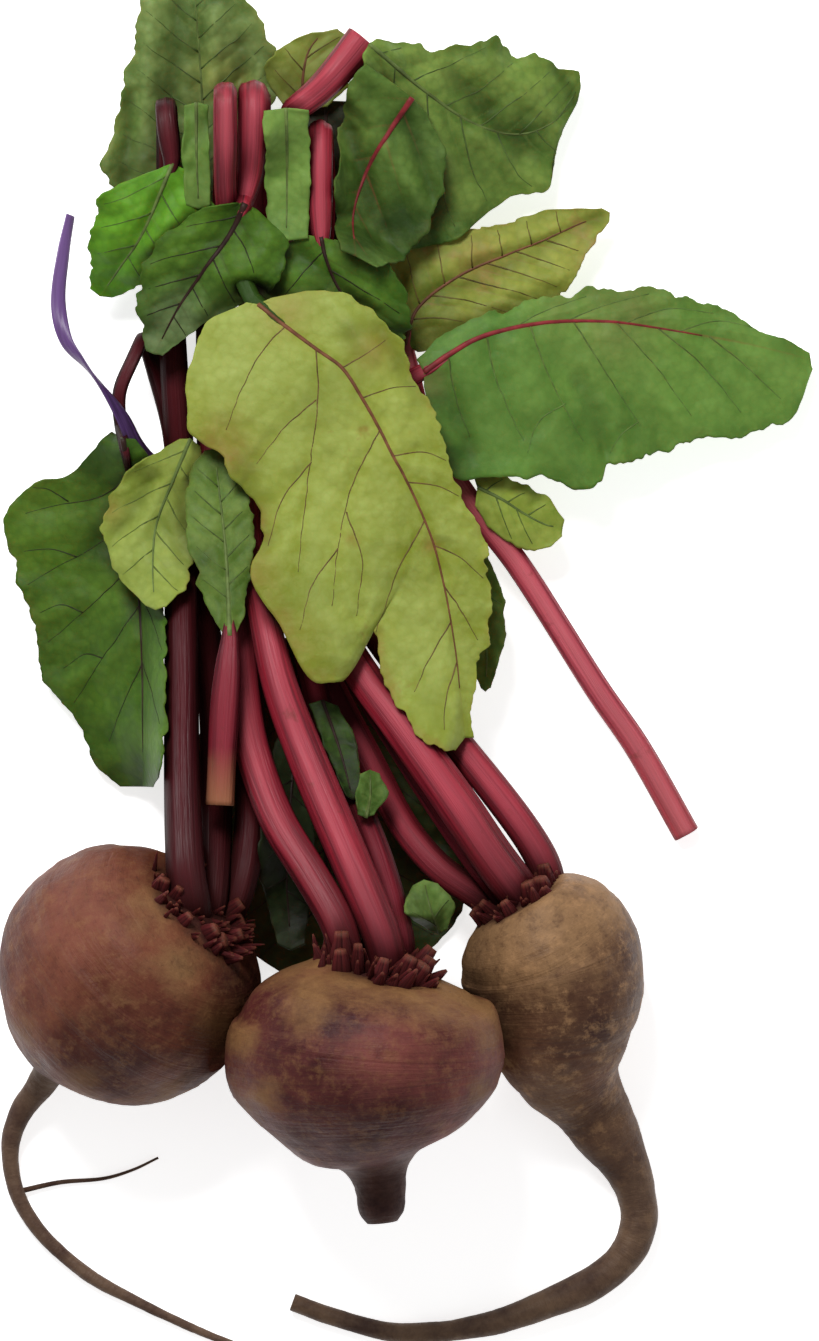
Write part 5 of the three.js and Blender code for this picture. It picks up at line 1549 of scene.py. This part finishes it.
# Tints of each root, how strongly it is mottled, and how far down and how much its upper side is tan. The
# red tint is partly skin and partly painted highlight.
ROOT_LOOKS = {
    "beet_front": dict(
        deep=(0.045, 0.008, 0.009), mid=(0.14, 0.034, 0.028), tan=(0.21, 0.105, 0.04),
        red_and_highlight=(0.22, 0.06, 0.048), tail=((0.07, 0.03, 0.022), (0.025, 0.009, 0.008)), mottled=0.2,
        tan_from=14, tan_side=0.0),
    "beet_left": dict(
        deep=(0.06, 0.014, 0.01), mid=(0.16, 0.048, 0.026), tan=(0.19, 0.095, 0.04), red_and_highlight=(0.2, 0.062, 0.04),
        tail=((0.14, 0.085, 0.055), (0.06, 0.03, 0.022)), mottled=0.3, tan_from=6, tan_side=0.0),
    "beet_right": dict(
        deep=(0.065, 0.026, 0.015), mid=(0.14, 0.07, 0.035), tan=(0.26, 0.145, 0.068),
        red_and_highlight=(0.13, 0.048, 0.028), tail=((0.14, 0.085, 0.052), (0.055, 0.03, 0.022)), mottled=0.55,
        tan_from=24, tan_side=0.35),
}
for number, beet in enumerate(BEETS):
    look = ROOT_LOOKS[beet["name"]]
    skin = root_material(beet["name"], look)
    add(build_root(beet, look, skin, number * 5 + 1), "root", beet["name"])
    add(build_stubs(beet, stalk_materials["stubs"], number + 3), "stalk")
    if "rootlet" in beet:
        add(build_rootlet(beet, skin), "root")

violet = tie_material()
add(build_ring(violet), "tie", "tie")
add(build_free_end(violet), "tie")

# How much of the sky the bunch hides from each point of each object, which the materials paint on as shade

# Directions in rings round the zenith: how flat, how steep and how many
SKY = [Vector((math.cos(turn) * flat, math.sin(turn) * flat, rise)).normalized()
       for flat, rise, count in ((0, 1, 1), (0.5, 1, 5), (1, 0.75, 7), (1, 0.2, 7))
       for turn in (np.arange(count) * 2 * math.pi / count + rise)]
SKY_REACH = 45
SHELTER_CELL = 1.3


def bunch_tree():
    """All solids of the frame as one search tree."""
    points, faces = [], []
    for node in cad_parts.values():
        offset = len(points)
        points.extend(vertex.co.copy() for vertex in node.data.vertices)
        faces.extend(tuple(offset + v for v in polygon.vertices) for polygon in node.data.polygons)
    return BVHTree.FromPolygons(points, faces)


def mark_shelter(obj, tree):
    """Gives each point its hidden share of the sky, for painted shade, found once for near points that face
    alike.
    """
    mesh = obj.data
    count = len(mesh.vertices)
    points = np.empty(count * 3, np.float32)
    mesh.vertices.foreach_get("co", points)
    points = points.reshape(-1, 3) / MM
    normals = np.array([tuple(vertex.normal) for vertex in mesh.vertices])
    cells = np.column_stack([np.round(points / SHELTER_CELL), np.round(normals * 1.5)]).astype(int)
    _, firsts, back = np.unique(cells, axis=0, return_index=True, return_inverse=True)
    hidden = np.zeros(len(firsts))
    for k, first in enumerate(firsts):
        point, normal = Vector(tuple(points[first])), Vector(tuple(normals[first]))
        total, blocked = 0, 0
        for heading in SKY:
            facing = heading.dot(normal)
            if facing > 0.1:
                hit = tree.ray_cast((point + normal + heading * 1.6) * MM, heading, SKY_REACH * MM)
                total += facing
                if hit[0] is not None:
                    blocked += facing * (1 - 0.6 * hit[3] / (SKY_REACH * MM))
        hidden[k] = blocked / total if total else 0.6
    deep = hidden[back.ravel()]
    edges = np.empty(len(mesh.edges) * 2, np.int32)
    mesh.edges.foreach_get("vertices", edges)
    ends = edges.reshape(-1, 2)
    near = np.bincount(ends.ravel(), minlength=count)
    for _ in range(5):
        total = np.bincount(ends[:, 0], deep[ends[:, 1]], count)
        total += np.bincount(ends[:, 1], deep[ends[:, 0]], count)
        deep = (deep + total) / (1 + near)
    mesh.attributes.new("deep", "FLOAT", "POINT").data.foreach_set("value", deep.astype(np.float32))


whole_bunch = bunch_tree()
for obj in finished:
    mark_shelter(obj, whole_bunch)

# Surface, light and camera

floor_shader = Shader("floor")
floor_material = floor_shader.finish((0.93, 0.93, 0.93), 0.9, 0.0)
floor_shader.principled.inputs["Emission Color"].default_value = (1, 1, 1, 1)
floor_shader.principled.inputs["Emission Strength"].default_value = 0.72
bpy.ops.mesh.primitive_plane_add(size=6, location=(0, 0, -0.0003))
floor = bpy.context.object
floor.name = "floor"
floor.data.materials.append(floor_material)


def add_light(name, location, size, power):
    data = bpy.data.lights.new(name, "AREA")
    data.size = size
    data.energy = power
    light = bpy.data.objects.new(name, data)
    light.location = location
    light.rotation_euler = (Vector(LIGHTS_AIM) - Vector(location)).to_track_quat("-Z", "Y").to_euler()
    bpy.context.collection.objects.link(light)


add_light("key", (-0.3, 0.75, 1.1), 0.4, 17)
add_light("fill", (0.8, -0.3, 0.9), 0.8, 1.5)

world = bpy.data.worlds.new("world")
world.use_nodes = True
background = world.node_tree.nodes["Background"]
background.inputs["Color"].default_value = (1, 1, 1, 1)
background.inputs["Strength"].default_value = 0.26
scene = bpy.context.scene
scene.world = world
scene.view_settings.view_transform = "Standard"
scene.render.resolution_x = PICTURE_WIDTH
scene.render.resolution_y = PICTURE_HEIGHT

camera_data = bpy.data.cameras.new("camera")
camera_data.sensor_width = SENSOR_WIDTH
camera_data.lens = SENSOR_WIDTH * CAMERA_HEIGHT / (PICTURE_HEIGHT * GRID_STEP * MM)
camera_data.clip_end = 10
camera = bpy.data.objects.new("camera", camera_data)
camera_x, camera_y = place([PICTURE_WIDTH / 2, PICTURE_HEIGHT / 2])
camera.location = (camera_x * MM, camera_y * MM, SEEN_PLANE + CAMERA_HEIGHT)
bpy.context.collection.objects.link(camera)
scene.camera = camera
